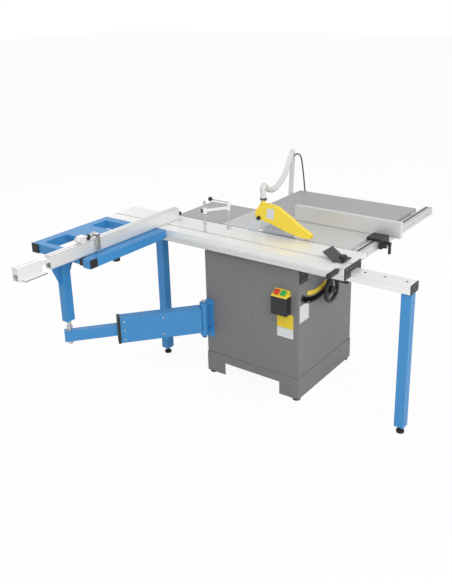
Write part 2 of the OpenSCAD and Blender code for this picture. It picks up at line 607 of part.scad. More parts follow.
module support_post() at_saw() color("steelblue") {
  box_tube([post[0] - 27, post[1] - 20, 450], [post[0] + 27, post[1] + 20, out_z0], 2, 3);
  translate([post[0], post[1] + 3, 0]) rotate([90, 0, 0]) linear_extrude(6) difference() {
    polygon([[-85, out_z0], [75, out_z0], [75, out_z0 - 12], [26, out_z0 - 110], [-26, out_z0 - 150], [-85, out_z0 - 12]]);
    translate([-24, 400]) square([48, 500]);
  }
  bar_z(rod_cut + 14, 470, post[0], post[1], 10);
  span([post[0] - 24, post[1] - 17, 450], [post[0] + 24, post[1] + 17, 456]);
  translate([post[0], post[1], rod_cut + 16]) cylinder(r = 17, h = 12, $fn = 6);
}

/* Crosscut fence */
module fence_shape() difference() {
  translate([fence_y, fence_z]) square([fence_t, fence_h]);
  translate([fence_y + 4, fence_z + 4]) square([fence_t - 8, fence_h / 2 - 6]);
  translate([fence_y + 4, fence_z + fence_h / 2 + 2]) square([fence_t - 8, fence_h / 2 - 12]);
  translate([fence_y + fence_t / 2 - 5, fence_z + fence_h - 9]) square([10, 10]);
}
module crosscut_fence() at_saw() color("gainsboro") {
  side_plate(fence_x0, fence_x1 - 4) fence_shape();
  bar_z(table_h - 7, fence_z + 2, fence_x1 - 60, fence_y + fence_t / 2, 6);
  span([fence_x1 - 4, fence_y, fence_z], [fence_x1, fence_y + fence_t, fence_z + fence_h]);
}
module fence_knob() at_saw() color("black")
  translate([fence_x1, fence_y + fence_t / 2, fence_z + fence_h - 30]) rotate([0, 90, 0]) knob(9, 14);
module fence_extension() at_saw() color("gainsboro") {
  span([ext_x0 + 10, fence_y + 4.3, fence_z + fence_h / 2 + 2.3],
    [fence_x0 + 300, fence_y + fence_t - 4.3, fence_z + fence_h - 10.3]);
  side_plate(ext_x0, ext_x0 + 140) difference() {
    fence_shape();
    translate([fence_y + 4, fence_z + fence_h / 2 + 2]) square([fence_t - 8, fence_h / 2 - 12]);
  }
  span([ext_x0, fence_y + 4, fence_z + fence_h / 2 + 2], [ext_x0 + 10, fence_y + fence_t - 4, fence_z + fence_h - 10]);
  color("dimgray") span([ext_x0 + 25, fence_y - 20, fence_z - 4], [ext_x0 + 155, fence_y + fence_t + 30, fence_z]);
}
stop_x = -720;
stop_z = fence_z + fence_h + 22;
module stop_block() at_saw() {
  color("silver") {
    span([stop_x - 96, fence_y + 2, fence_z + fence_h + 0.3], [stop_x - 60, fence_y + fence_t - 2, stop_z + 12]);
    bar_x(stop_x - 60, stop_x + 18, fence_y + fence_t / 2, stop_z, 6);
    span([stop_x - 92, fence_y + fence_t / 2 - 4.6, fence_z + fence_h - 8], [stop_x - 64, fence_y + fence_t / 2 + 4.6, fence_z + fence_h + 0.3]);
  }
  color("black") translate([stop_x - 96, fence_y + fence_t / 2, stop_z]) rotate([0, -90, 0]) knob(13, 18);
}
module stop_arm() at_saw() color("silver") difference() {
  union() {
    bar_x(stop_x - 8, stop_x + 14, fence_y + fence_t / 2, stop_z, 12);
    span([stop_x - 8, fence_y - 18, stop_z], [stop_x + 14, fence_y + fence_t / 2, stop_z + 8]);
    span([stop_x - 8, fence_y - 18, fence_z + 4], [stop_x + 14, fence_y - 10, stop_z + 8]);
  }
  bar_x(stop_x - 10, stop_x + 20, fence_y + fence_t / 2, stop_z, 6 + run);
}

/* Hold-down clamp and ripping shoe */
clamp = [slot_x, 792];
head = [-50, 718];
clamp_a = atan2(head[1] - clamp[1], head[0] - clamp[0]);
clamp_l = norm(head - clamp);
head_z = table_h + 125;
module at_clamp() at_saw() translate([clamp[0], clamp[1], 0]) rotate(clamp_a) children();
module t_nut(y, len) translate([slot_x - 9.5, y - len / 2, table_h - 13.5]) cube([19, len, 8]);
module clamp_post() at_saw() color("silver") {
  t_nut(clamp[1], 30);
  bar_z(table_h - 6, table_h + 178, clamp[0], clamp[1], 4.8);
  difference() {
    bar_z(table_h + 0.3, table_h + 178, clamp[0], clamp[1], 7);
    for (z = [60:20:170]) bar_x(clamp[0] - 9, clamp[0] - 6.5, clamp[1], table_h + z, 2);
  }
}
module clamp_arm() at_clamp() {
  color("silver") difference() {
    union() {
      translate([0, 0, head_z - 16]) cylinder(r = 13, h = 32);
      translate([10, -4, head_z - 8]) cube([clamp_l - 16, 8, 14]);
      translate([clamp_l, 0, head_z - 16]) cylinder(r = 11, h = 32);
      for (s = [-1, 1]) translate([clamp_l - 10, s * 7 - 2, head_z + 10]) cube([20, 4, 22]);
    }
    translate([0, 0, head_z - 20]) cylinder(r = 7 + run, h = 40);
    translate([clamp_l, 0, head_z - 20]) cylinder(r = 5 + run, h = 60);
    translate([clamp_l - 12, -5.2, head_z + 4]) cube([24, 10.4, 40]);
  }
  color("black") translate([-13, 0, head_z]) rotate([0, -90, 0]) knob(9, 16);
}
module clamp_rod() at_clamp() color("silver") {
  translate([clamp_l, 0, table_h + 14]) cylinder(r = 5, h = head_z - table_h + 4);
  translate([clamp_l, 0, table_h + 6]) cylinder(r = 13, h = 8);
}
module clamp_lever() at_clamp() {
  color("silver") translate([clamp_l, 4.8, head_z + 26]) rotate([90, 0, 0]) difference() {
    union() {
      cylinder(r = 7.5, h = 9.6);
      rotate(162) translate([0, -3, 1.5]) cube([105, 6, 6.6]);
    }
  }
  color("black") translate([clamp_l, 0, head_z + 26]) rotate([0, -72, 0]) translate([0, 0, 110])
    sphere(r = 12);
}
shoe_y = -54;
module ripping_shoe() at_saw() color("silver") {
  t_nut(shoe_y, 26);
  bar_z(table_h - 6, table_h + 20, slot_x, shoe_y, 4.5);
  span([slot_x - 30, shoe_y - 14, table_h + 0.3], [slot_x + 62, shoe_y + 28, table_h + 5]);
  side_plate(slot_x - 40, slot_x + 58) polygon([[shoe_y + 26, table_h + 0.3], [shoe_y + 30, table_h + 0.3],
    [shoe_y + 94, table_h + 44], [shoe_y + 90, table_h + 46], [shoe_y + 26, table_h + 4]]);
}
module shoe_knob() at_saw() color("black") difference() {
  translate([slot_x, shoe_y, table_h + 5.3]) union() {
    cylinder(r = 9, h = 10);
    translate([0, 0, 10]) knob(19, 16);
  }
  bar_z(table_h, table_h + 21, slot_x, shoe_y, 4.5 + run);
}

/* Swing arm */
arm_z0 = arm_z - arm_h / 2;
arm_z1 = arm_z + arm_h / 2;
module at_pivot() at_saw() translate([piv[0], piv[1], 0]) rotate(arm_a) children();
module arm_bracket() at_saw() color("steelblue") {
  span([-cab_left - 6, piv[1] - 36, arm_z0 - 50], [-cab_left - panel_t, cab_y1 - 2, arm_z1 + 30]);
  for (z = [arm_z0 - 24, arm_z1 + 0.5]) {
    bar_z(z, z + 23.5, piv[0], piv[1], 22);
    span([piv[0], piv[1] - 22, z], [-cab_left - 6, piv[1] + 15, z + 23.5]);
  }
  bar_z(arm_z0 - 36, arm_z1 + 30, piv[0], piv[1], pin_r);
}
module swing_box() at_pivot() color("steelblue") {
  difference() {
    translate([0, 0, arm_z0]) cylinder(r = 22, h = arm_h);
    translate([0, 0, arm_z0 - 1]) cylinder(r = pin_r + run, h = arm_h + 2);
  }
  difference() {
    translate([19, -arm_w / 2, arm_z0]) cube([arm_len - 19, arm_w, arm_h]);
    translate([44, -arm_w / 2 + 4, arm_z0 + 4]) cube([arm_len, arm_w - 8, arm_h - 8]);
    translate([0, 0, arm_z0 - 1]) cylinder(r = 21.5, h = arm_h + 2);
  }
}
module swing_cap() at_pivot() color("black") difference() {
  translate([arm_len, -arm_w / 2 - 2, arm_z0 - 2]) cube([16, arm_w + 4, arm_h + 4]);
  translate([arm_len - 1, -20.3, arm_z - 30.3]) cube([20, 40.6, 60.6]);
}
module swing_tube() at_pivot() color("steelblue") difference() {
  translate([arm_len - 270, -20, arm_z - 30]) cube([arm_reach + 30 - arm_len + 270, 40, 60]);
  translate([arm_len - 271, -17, arm_z - 27]) cube([arm_reach + 28 - arm_len + 270, 34, 54]);
}
module support_nuts() at_saw() color("silver") translate([post[0], post[1], 0]) {
  translate([0, 0, arm_z + 30]) cylinder(r = 10, h = rod_cut + 13.5 - arm_z - 30);
  translate([0, 0, arm_z + 30]) cylinder(r = 17, h = 11, $fn = 6);
  translate([0, 0, arm_z - 50]) cylinder(r = 10, h = 20);
  translate([0, 0, arm_z - 42]) cylinder(r = 17, h = 12, $fn = 6);
}

/* Rip fence */
module rip_head() at_saw() color("black") {
  span([rip_x - 90, rip_rail_y - 20, rip_z1 + 0.3], [rip_x - 0.3, -2, rip_z1 + 16]);
  span([rip_x - 90, rip_rail_y - 20, rip_z0 + 4], [rip_x - 0.3, rip_rail_y - 0.3, rip_z1 + 16]);
  translate([rip_x - 76, rip_rail_y - 20, rip_z0 + 22]) rotate([90, 0, 0]) knob(13, 22);
}
module rip_lever() at_saw() color("black") {
  bar_y(rip_rail_y - 46, rip_rail_y - 20.3, rip_x - 34, rip_z0 + 22, 10);
  span([rip_x - 40, rip_rail_y - 46, rip_z0 - 34], [rip_x - 28, rip_rail_y - 34, rip_z0 + 22]);
}
rip_y1 = 490;
module rip_fence() at_saw() color("silver") difference() {
  span([rip_x, rip_y1 - rip_len, table_h + 2], [rip_x + 30, rip_y1, table_h + 2 + rip_h]);
  span([rip_x + 3, rip_y1 - rip_len + 4, table_h + 5], [rip_x + 27, rip_y1 + 1, table_h + rip_h / 2 - 2]);
  span([rip_x + 3, rip_y1 - rip_len + 4, table_h + rip_h / 2 + 2], [rip_x + 27, rip_y1 + 1, table_h + rip_h - 2]);
  span([rip_x + 26, rip_y1 - rip_len - 1, table_h + 16], [rip_x + 31, rip_y1 + 1, table_h + 26]);
}

plinth();
cabinet();
levelling_feet();
main_table();
right_extension();
rear_extension();
rip_rail();
carriage_rail();
rail_fittings();
support_legs();
switch_box();
switch_cover();
start_button();
stop_button();
tilt_scale();
trunnions();
arm_bracket();
hose_support();
hose_drop();
carriage_table();
carriage_caps();
push_handle();
outrigger_frame();
outrigger_caps();
support_post();
ball_cages();
crosscut_fence();
fence_knob();
fence_extension();
stop_block();
stop_arm();
clamp_post();
clamp_arm();
clamp_rod();
clamp_lever();
ripping_shoe();
shoe_knob();
swing_box();
swing_cap();
swing_tube();
support_nuts();
tilt_cradle();
lift_casting();
motor();
drive_belt();
riving_knife();
saw_blade();
arbor();
motor_pulley();
handwheel();
wheel_grip();
guard_knob();
blade_guard();
hose_guard();
hose_bend();
hose_sag();
hose_rise();
rip_head();
rip_lever();
rip_fence();
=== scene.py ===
"""Looks of a sliding table saw: finishes, small fittings, extraction hose, light and camera."""
import logging
import math
from abc import ABC, abstractmethod
from dataclasses import dataclass
from enum import Enum
from typing import Any, Iterable, Sequence

import bmesh
import bpy
from mathutils import Matrix, Vector


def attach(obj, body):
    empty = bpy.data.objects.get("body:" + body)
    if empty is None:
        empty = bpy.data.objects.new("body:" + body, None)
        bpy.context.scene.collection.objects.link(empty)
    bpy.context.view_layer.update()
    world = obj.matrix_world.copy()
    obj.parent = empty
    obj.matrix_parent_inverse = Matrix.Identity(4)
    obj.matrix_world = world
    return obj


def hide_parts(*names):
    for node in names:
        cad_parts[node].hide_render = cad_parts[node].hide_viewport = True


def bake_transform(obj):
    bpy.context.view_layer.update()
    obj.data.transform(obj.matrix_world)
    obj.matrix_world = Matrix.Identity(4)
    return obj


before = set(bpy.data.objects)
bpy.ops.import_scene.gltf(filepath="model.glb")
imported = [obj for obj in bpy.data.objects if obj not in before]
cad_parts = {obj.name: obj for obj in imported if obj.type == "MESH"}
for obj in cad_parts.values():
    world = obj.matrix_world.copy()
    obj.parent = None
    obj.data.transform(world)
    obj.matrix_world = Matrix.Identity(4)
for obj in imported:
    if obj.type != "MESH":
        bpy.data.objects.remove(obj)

log = logging.getLogger("table_saw")
Point = Sequence[float]
Colour = tuple[float, float, float]

MM = 0.001
SHIFT = Vector((140.0, -535.5, 0.0))
TABLE_H = 850.0
INK = (0.03, 0.03, 0.03)
SHARP_FROM = math.radians(38.0)


def at(x: float, y: float, z: float) -> Vector:
    """Row-frame point in metres of a point of the saw in millimetres."""
    return (Vector((x, y, z)) + SHIFT) * MM


class Sock:
    """A value of a shader graph; arithmetic on it adds Math nodes."""

    def __init__(self, graph: "Graph", socket: Any) -> None:
        """Keeps the graph and the output socket."""
        self.graph = graph
        self.socket = socket

    def _math(self, operation: str, a: Any, b: Any = 0.0) -> "Sock":
        """Adds one Math node of that operation."""
        return self.graph.node("ShaderNodeMath", {"operation": operation}, {0: a, 1: b})

    def __add__(self, other: Any) -> "Sock":
        """Sum."""
        return self._math("ADD", self, other)

    def __sub__(self, other: Any) -> "Sock":
        """Difference."""
        return self._math("SUBTRACT", self, other)

    def __rsub__(self, other: Any) -> "Sock":
        """Difference with this value taken away."""
        return self._math("SUBTRACT", other, self)

    def __mul__(self, other: Any) -> "Sock":
        """Product."""
        return self._math("MULTIPLY", self, other)

    def __mod__(self, other: Any) -> "Sock":
        """Remainder that is never negative."""
        return self._math("FLOORED_MODULO", self, other)

    def __lt__(self, other: Any) -> "Sock":
        """One where this value is the smaller."""
        return self._math("LESS_THAN", self, other)

    def __gt__(self, other: Any) -> "Sock":
        """One where this value is the greater."""
        return self._math("GREATER_THAN", self, other)

    def capped(self) -> "Sock":
        """Value held between 0 and 1."""
        return self.graph.node("ShaderNodeClamp", {}, {"Value": self})


def new_node(tree: Any, kind: str, settings: dict | None = None, inputs: dict | None = None) -> Any:
    """Adds a node to a tree.

    Args:
        tree: the tree that gets it.
        kind: the node's type.
        settings: attributes set before the inputs.
        inputs: values or links by socket name or index.

    Returns:
        The node.
    """
    made = tree.nodes.new(kind)
    for key, value in (settings or {}).items():
        setattr(made, key, value)
    for key, value in (inputs or {}).items():
        socket = made.inputs[key]
        value = value.socket if isinstance(value, Sock) else value
        if isinstance(value, bpy.types.NodeSocket):
            tree.links.new(value, socket)
        elif isinstance(value, tuple) and socket.type == "RGBA":
            socket.default_value = (*value, 1.0)
        else:
            socket.default_value = value
    return made


class Graph:
    """The node tree of one material."""

    def __init__(self, name: str) -> None:
        """Makes an empty material of that name."""
        self.material = bpy.data.materials.new(name)
        self.material.use_nodes = True
        self.tree = self.material.node_tree
        self.tree.nodes.clear()

    def node(self, kind: str, settings: dict | None = None, inputs: dict | None = None, out: Any = 0) -> Sock:
        """Adds a node and gives the output of that name or index."""
        return Sock(self, new_node(self.tree, kind, settings, inputs).outputs[out])

    def noise(self, where: Sock, scale: float, detail: float = 3.0) -> Sock:
        """Grey noise at a scale in waves per metre."""
        return self.node("ShaderNodeTexNoise", {}, {"Vector": where, "Scale": scale, "Detail": detail})

    def mix(self, factor: Any, first: Any, second: Any) -> Sock:
        """Colour between two colours."""
        return self.node("ShaderNodeMix", {"data_type": "RGBA"}, {0: factor, 6: first, 7: second}, 2)

    def place(self) -> Sock:
        """Object coordinates."""
        return self.node("ShaderNodeTexCoord", out="Object")

    def axes(self, where: Sock) -> list[Sock]:
        """The three coordinates of a vector."""
        split = self.node("ShaderNodeSeparateXYZ", {}, {0: where})
        return [Sock(self, split.socket.node.outputs[i]) for i in range(3)]

    def finish(self, **inputs: Any) -> bpy.types.Material:
        """Ends the tree in a principled shader.

        Args:
            **inputs: its sockets by name, with _ for a space.

        Returns:
            The material.
        """
        named = {key.replace("_", " "): value for key, value in inputs.items()}
        return self.surface(self.node("ShaderNodeBsdfPrincipled", {}, named))

    def surface(self, shader: Sock) -> bpy.types.Material:
        """Makes a shader the material's surface."""
        new_node(self.tree, "ShaderNodeOutputMaterial", {}, {"Surface": shader})
        return self.material


class Grain(Enum):
    """Which way the fine marks of a finish run, as the scale of its pattern on each axis."""

    EVEN = (1.0, 1.0, 1.0)
    ALONG_X = (0.02, 1.0, 1.0)
    ALONG_Y = (1.0, 0.02, 1.0)
    ALONG_Z = (1.0, 1.0, 0.02)


@dataclass(frozen=True)
class Ticks:
    """Ruler marks along X: the band of Y that they lie in and the height above which they show, in metres."""

    low: float
    high: float
    above: float
    pitch: float = 0.01
    width: float = 0.0011


BROAD_WAVES = 2.6
SMUDGE_WAVES = 21.0
SHADE_DEPTH = 2.4
WEAR_WIDTH = 9.0
WEAR_SHARE = 0.55


@dataclass(frozen=True)
class Finish:
    """One surface finish with its colour variation, marks, edge wear and relief."""

    name: str
    slot: str
    colour: Colour
    rough: float
    metal: float = 0.0
    grain: Grain = Grain.EVEN
    scale: float = 900.0
    contrast: float = 0.10
    mottle: float = 0.06
    relief: float = 0.12
    depth: float = 0.00025
    edge: float = 0.0009
    worn: Colour | None = None
    coat: float = 0.0
    transmission: float = 0.0
    ticks: Ticks | None = None

    def material(self) -> bpy.types.Material:
        """The material, built at its first use."""
        return bpy.data.materials.get(self.name) or self.build()

    def build(self) -> bpy.types.Material:
        """Writes the node tree.

        Returns:
            The new material.
        """
        g = Graph(self.name)
        where = g.place()
        marks = g.node("ShaderNodeMapping", {}, {"Vector": where, "Scale": self.grain.value})
        fine = g.noise(marks, self.scale, 4.0)
        broad = g.noise(where, BROAD_WAVES, 5.0)
        smudge = g.noise(where, SMUDGE_WAVES, 6.0)
        light = tuple(min(1.0, c * (1.0 + self.contrast)) for c in self.colour)
        dark = tuple(c * (1.0 - self.contrast) for c in self.colour)
        base = g.mix(fine, dark, light)
        shaded = tuple(c * (1.0 - SHADE_DEPTH * self.mottle) for c in self.colour)
        spread = ((broad - 0.42) * 2.2 + (smudge - 0.5) * 0.8).capped()
        base = g.mix(spread * 0.5, base, shaded)
        soft = g.node("ShaderNodeBevel", {"samples": 4}, {"Radius": self.edge}, "Normal")
        if self.worn:
            flat = g.node("ShaderNodeNewGeometry", out="Normal")
            along = g.node("ShaderNodeVectorMath", {"operation": "DOT_PRODUCT"}, {0: soft, 1: flat}, "Value")
            rubbed = ((1.0 - along) * WEAR_WIDTH * (smudge + 0.15)).capped()
            base = g.mix(rubbed * WEAR_SHARE, base, self.worn)
        if self.ticks:
            base = g.mix(self.tick_mask(g, where), base, INK)
        bump = g.node("ShaderNodeBump", {}, {"Strength": self.relief, "Distance": self.depth,
                                             "Height": fine, "Normal": soft})
        rough = (fine - 0.5) * 0.12 + (smudge - 0.5) * 0.10 + self.rough
        return g.finish(Base_Color=base, Roughness=rough.capped(), Metallic=self.metal, Normal=bump,
                        Coat_Weight=self.coat, Coat_Roughness=0.12, Transmission_Weight=self.transmission)

    def tick_mask(self, g: Graph, where: Sock) -> Sock:
        """Dark marks each centimetre, longer at each fifth.

        Args:
            g: the graph that gets the nodes.
            where: object coordinates.

        Returns:
            One on a mark, else zero.
        """
        t = self.ticks
        along, side, height = g.axes(where)
        short = t.low + 0.5 * (t.high - t.low)
        near = (side > t.low) * (height > t.above)
        ones = ((along % t.pitch) < t.width) * (side < short)
        fives = ((along % (5 * t.pitch)) < t.width) * (side < t.high)
        return ((ones + fives) * near).capped()


def paint(name: str, slot: str, colour: Colour, rough: float = 0.44) -> Finish:
    """Powder coat with a fine orange-peel skin and edges that are rubbed a little lighter."""
    worn = tuple(min(1.0, c * 1.5 + 0.03) for c in colour)
    return Finish(name, slot, colour, rough, scale=620.0, contrast=0.05, mottle=0.05, relief=0.10,
                  depth=0.0003, edge=0.0016, worn=worn)


def anodised(name: str, colour: Colour, rough: float, grain: Grain = Grain.ALONG_X, metal: float = 0.35,
             ticks: Ticks | None = None) -> Finish:
    """Drawn aluminium with its fine die lines along one axis."""
    return Finish(name, "alu", colour, rough, metal=metal, grain=grain, scale=1100.0, contrast=0.07,
                  mottle=0.04, relief=0.05, ticks=ticks)


def rule(low: float, high: float, above: float) -> Ticks:
    """Marks along X between two Y of the saw, above a height."""
    return Ticks((low + SHIFT.y) * MM, (high + SHIFT.y) * MM, above * MM)


GREY_PAINT = paint("grey_powder_coat", "grey_paint", (0.195, 0.195, 0.195))
# Dark grey of thin strips that paint the shade of grooves, ribs and steps on the aluminium profiles.
LINE_SHADE_GREY = paint("painted_line_shade", "alu", (0.300, 0.300, 0.305), 0.5)
DARK_PAINT = paint("dark_grey_paint", "dark_paint", (0.060, 0.062, 0.066), 0.5)
BLUE_PAINT = paint("blue_powder_coat", "blue_paint", (0.046, 0.268, 0.590), 0.40)
SHEET_GREY = Finish("galvanised_sheet", "sheet_table", (0.440, 0.440, 0.445), 0.42, metal=0.25,
                    grain=Grain.ALONG_X, contrast=0.16, mottle=0.08, relief=0.06)
GROUND_IRON = Finish("ground_cast_iron", "cast_table", (0.66, 0.66, 0.65), 0.42, metal=0.35,
                     grain=Grain.ALONG_Y, scale=1500.0, contrast=0.22, mottle=0.07, relief=0.10)
EXTRUSION = anodised("anodised_profile_y", (0.91, 0.91, 0.895), 0.36, Grain.ALONG_Y)
EXTRUSION_X = anodised("anodised_profile_x", (0.88, 0.88, 0.87), 0.35)
FENCE_RULE = anodised("anodised_rule_x", (0.82, 0.82, 0.81), 0.35, ticks=rule(1074, 1084, 919.5))
RAIL_RULE = anodised("anodised_rail_rule", (0.74, 0.735, 0.72), 0.30, metal=0.5, ticks=rule(-66, -50, 846.5))
FENCE_PLATE = Finish("brushed_fence_plate", "alu", (0.78, 0.78, 0.78), 0.32, metal=0.45, grain=Grain.ALONG_Z,
                     scale=800.0, contrast=0.06, mottle=0.03, relief=0.05)
STEEL = Finish("bright_steel", "steel", (0.62, 0.62, 0.63), 0.26, metal=0.85, contrast=0.06, mottle=0.04,
               relief=0.04, edge=0.0006)
# Strong contrast and mottle paint light and dark reflection bands onto the blade steel.
BLADE_STEEL_PAINTED_BANDS = Finish("blade_steel_painted_bands", "steel", (0.56, 0.59, 0.64), 0.22, metal=0.95, grain=Grain.ALONG_Y,
                     scale=90.0, contrast=0.45, mottle=0.30, relief=0.05, edge=0.0010)
KNIFE_STEEL = Finish("ground_knife_steel", "steel", (0.76, 0.80, 0.86), 0.24, metal=0.80, grain=Grain.ALONG_Y,
                     scale=300.0, contrast=0.10, mottle=0.10, relief=0.05, edge=0.0006)
BLACKED = Finish("dark_bent_plate", "steel", (0.085, 0.087, 0.09), 0.42, metal=0.4, contrast=0.10)
PLASTIC = Finish("black_moulding", "black_plastic", (0.020, 0.020, 0.022), 0.46, scale=1600.0, contrast=0.2,
                 relief=0.22, edge=0.0014, worn=(0.07, 0.07, 0.07))
YELLOW = Finish("yellow_moulding", "yellow_plastic", (0.96, 0.72, 0.045), 0.33, scale=300.0, contrast=0.02,
                mottle=0.03, relief=0.03, edge=0.0016, coat=0.25)
RED = Finish("red_button", "red_plastic", (0.72, 0.035, 0.02), 0.3, contrast=0.04, relief=0.05, coat=0.3)
GREEN = Finish("green_button", "green_plastic", (0.03, 0.42, 0.09), 0.3, contrast=0.04, relief=0.05, coat=0.3)
RUBBER = Finish("black_rubber", "rubber", (0.022, 0.022, 0.022), 0.72, scale=1200.0, contrast=0.2, relief=0.3)
HOSE = Finish("ribbed_hose_wall", "hose", (0.90, 0.91, 0.91), 0.34, scale=260.0, contrast=0.03, mottle=0.03,
              relief=0.05, transmission=0.25, edge=0.0004)
IRON = Finish("rough_casting", "iron", (0.085, 0.085, 0.09), 0.62, metal=0.5, scale=420.0, contrast=0.3,
              relief=0.5, depth=0.0006)
PLATE_YELLOW = Finish("bare_yellow_plate", "yellow_plastic", (0.80, 0.60, 0.02), 0.4, contrast=0.02,
                      relief=0.04)
PLATE_PALE = Finish("bare_pale_plate", "alu", (0.72, 0.74, 0.76), 0.36, metal=0.1, contrast=0.03, relief=0.04)


DIAL_LIP = 0.2805
DIAL_SHORT = 0.268
DIAL_LONG = 0.259


def dial_finish() -> bpy.types.Material:
    """Tilt scale: a black slot lip and a yellow arc with plain degree marks about the tilt axis."""
    g = Graph("tilt_dial")
    x, _, z = g.axes(g.place())
    side = x - SHIFT.x * MM
    down = TABLE_H * MM - z
    radius = g.node("ShaderNodeMath", {"operation": "SQRT"}, {0: side * side + down * down})
    angle = g.node("ShaderNodeMath", {"operation": "ARCTAN2"}, {0: side, 1: down}) * (180.0 / math.pi)
    short = ((angle % 1.0) < 0.16) * (radius > DIAL_SHORT)
    long = ((angle % 5.0) < 0.22) * (radius > DIAL_LONG)
    arc = g.mix((short + long).capped(), YELLOW.colour, INK)
    colour = g.mix(radius > DIAL_LIP, arc, PLASTIC.colour)
    grain = g.noise(g.place(), 900.0)
    bump = g.node("ShaderNodeBump", {}, {"Strength": 0.08, "Distance": 0.0002, "Height": grain})
    return g.finish(Base_Color=colour, Roughness=(grain * 0.1 + 0.34).capped(), Normal=bump)


def placed(name: str, data: bpy.types.ID) -> bpy.types.Object:
    """New object of the scene that carries the data."""
    made = bpy.data.objects.new(name, data)
    bpy.context.scene.collection.objects.link(made)
    return made


class Stock:
    """Collects plain solids in millimetres of the saw and turns them into one piece."""

    def __init__(self) -> None:
        """Starts with nothing."""
        self.mesh = bmesh.new()

    def _grow(self, points: Iterable[Point], faces: Iterable[Sequence[int]], turn: Matrix) -> None:
        """Adds points and faces after a turn."""
        made = [self.mesh.verts.new(turn @ Vector(p)) for p in points]
        for face in faces:
            self.mesh.faces.new([made[i] for i in face])

    def _skin(self, points: Sequence[Point], sides: int, turn: Matrix) -> "Stock":
        """Joins rings of points with faces and closes both ends."""
        last = len(points) // sides - 1
        faces = []
        for j in range(last):
            for k in range(sides):
                n = (k + 1) % sides
                faces.append([j * sides + k, j * sides + n, (j + 1) * sides + n, (j + 1) * sides + k])
        faces.append(list(range(sides))[::-1])
        faces.append([last * sides + k for k in range(sides)])
        self._grow(points, faces, turn)
        return self

    def prism(self, outline: Sequence[Point], start: float, end: float,
              turn: Matrix | None = None) -> "Stock":
        """Adds an outline in XY that is drawn out along Z.

        Args:
            outline: its corners, anticlockwise.
            start: height of the lower face.
            end: height of the upper face.
            turn: where the prism goes.

        Returns:
            This stock.
        """
        n = len(outline)
        points = [(x, y, z) for z in (start, end) for x, y in outline]
        faces = [list(range(n))[::-1], list(range(n, 2 * n))]
        faces += [[i, (i + 1) % n, n + (i + 1) % n, n + i] for i in range(n)]
        self._grow(points, faces, turn or Matrix.Identity(4))
        return self

    def block(self, low: Point, high: Point, turn: Matrix | None = None) -> "Stock":
        """Adds a block between two corners."""
        outline = [(low[0], low[1]), (high[0], low[1]), (high[0], high[1]), (low[0], high[1])]
        return self.prism(outline, low[2], high[2], turn)

    def lathe(self, profile: Sequence[Point], turn: Matrix, sides: int = 32, lobes: int = 0,
              bulge: float = 0.0) -> "Stock":
        """Adds a turned shape about Z.

        Args:
            profile: radius and height pairs from the lower pole to the upper one.
            turn: where the shape goes.
            sides: facets round it.
            lobes: how many lobes its widest part has.
            bulge: how far they stand out, as a share of the radius.

        Returns:
            This stock.
        """
        points = []
        wide = max(r for r, _ in profile)
        for r, z in profile:
            for k in range(sides):
                a = 2.0 * math.pi * k / sides
                grown = r * (1.0 + bulge * (r / wide) ** 2 * math.cos(lobes * a) if lobes else 1.0)
                points.append((grown * math.cos(a), grown * math.sin(a), z))
        return self._skin(points, sides, turn)

    def wire(self, points: Sequence[Point], radius: float, sides: int = 10) -> "Stock":
        """Adds a bent wire through points."""
        line = [Vector(p) for p in points]
        rings = []
        for i, p in enumerate(line):
            ahead = (line[min(i + 1, len(line) - 1)] - line[max(i - 1, 0)]).normalized()
            quat = ahead.to_track_quat("Z", "Y")
            for k in range(sides):
                a = 2.0 * math.pi * k / sides
                rings.append(p + quat @ Vector((radius * math.cos(a), radius * math.sin(a), 0.0)))
        return self._skin(rings, sides, Matrix.Identity(4))

    def piece(self, name: str, body: str, finish: Finish, bevel: float = 0.0) -> bpy.types.Object:
        """Turns the stock into a piece that rides on a body.

        Args:
            name: the piece's name.
            body: the CAD body that it rides on.
            finish: its surface.
            bevel: width of its edge rounding in millimetres.

        Returns:
            The new object.
        """
        for vert in self.mesh.verts:
            vert.co = (vert.co + SHIFT) * MM
        bmesh.ops.recalc_face_normals(self.mesh, faces=self.mesh.faces)
        data = bpy.data.meshes.new(name)
        self.mesh.to_mesh(data)
        self.mesh.free()
        made = placed(name, data)
        data.materials.append(finish.material())
        data.shade_smooth()
        data.set_sharp_from_angle(angle=SHARP_FROM)
        if bevel:
            edge = made.modifiers.new("edge", "BEVEL")
            edge.width, edge.segments, edge.limit_method = bevel * MM, 2, "ANGLE"
            edge.harden_normals = True
        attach(made, body)
        log.info("%s on %s", name, body)
        return made


def axis_turn(place: Point, facing: Point) -> Matrix:
    """Turn that takes Z to a direction at a place."""
    quat = Vector(facing).to_track_quat("Z", "Y")
    return Matrix.Translation(Vector(place)) @ quat.to_matrix().to_4x4()


@dataclass(frozen=True)
class Fastener:
    """A bolt head form: radii and height in millimetres, its sides and the radius of its socket."""

    head: float
    height: float
    sides: int
    socket: float
    washer: float = 0.0


class Head(Enum):
    """The fasteners that hold the machine together."""

    SOCKET = Fastener(5.0, 4.6, 20, 2.5)
    LARGE_HEX = Fastener(9.5, 6.5, 6, 0.0, 14.0)
    FLAT = Fastener(6.5, 0.5, 24, 2.6)
    SMALL = Fastener(2.8, 1.6, 16, 1.2)


WASHER = 1.6
LEAST_SOCKET = 0.05
LEAST_WASHER = 0.1


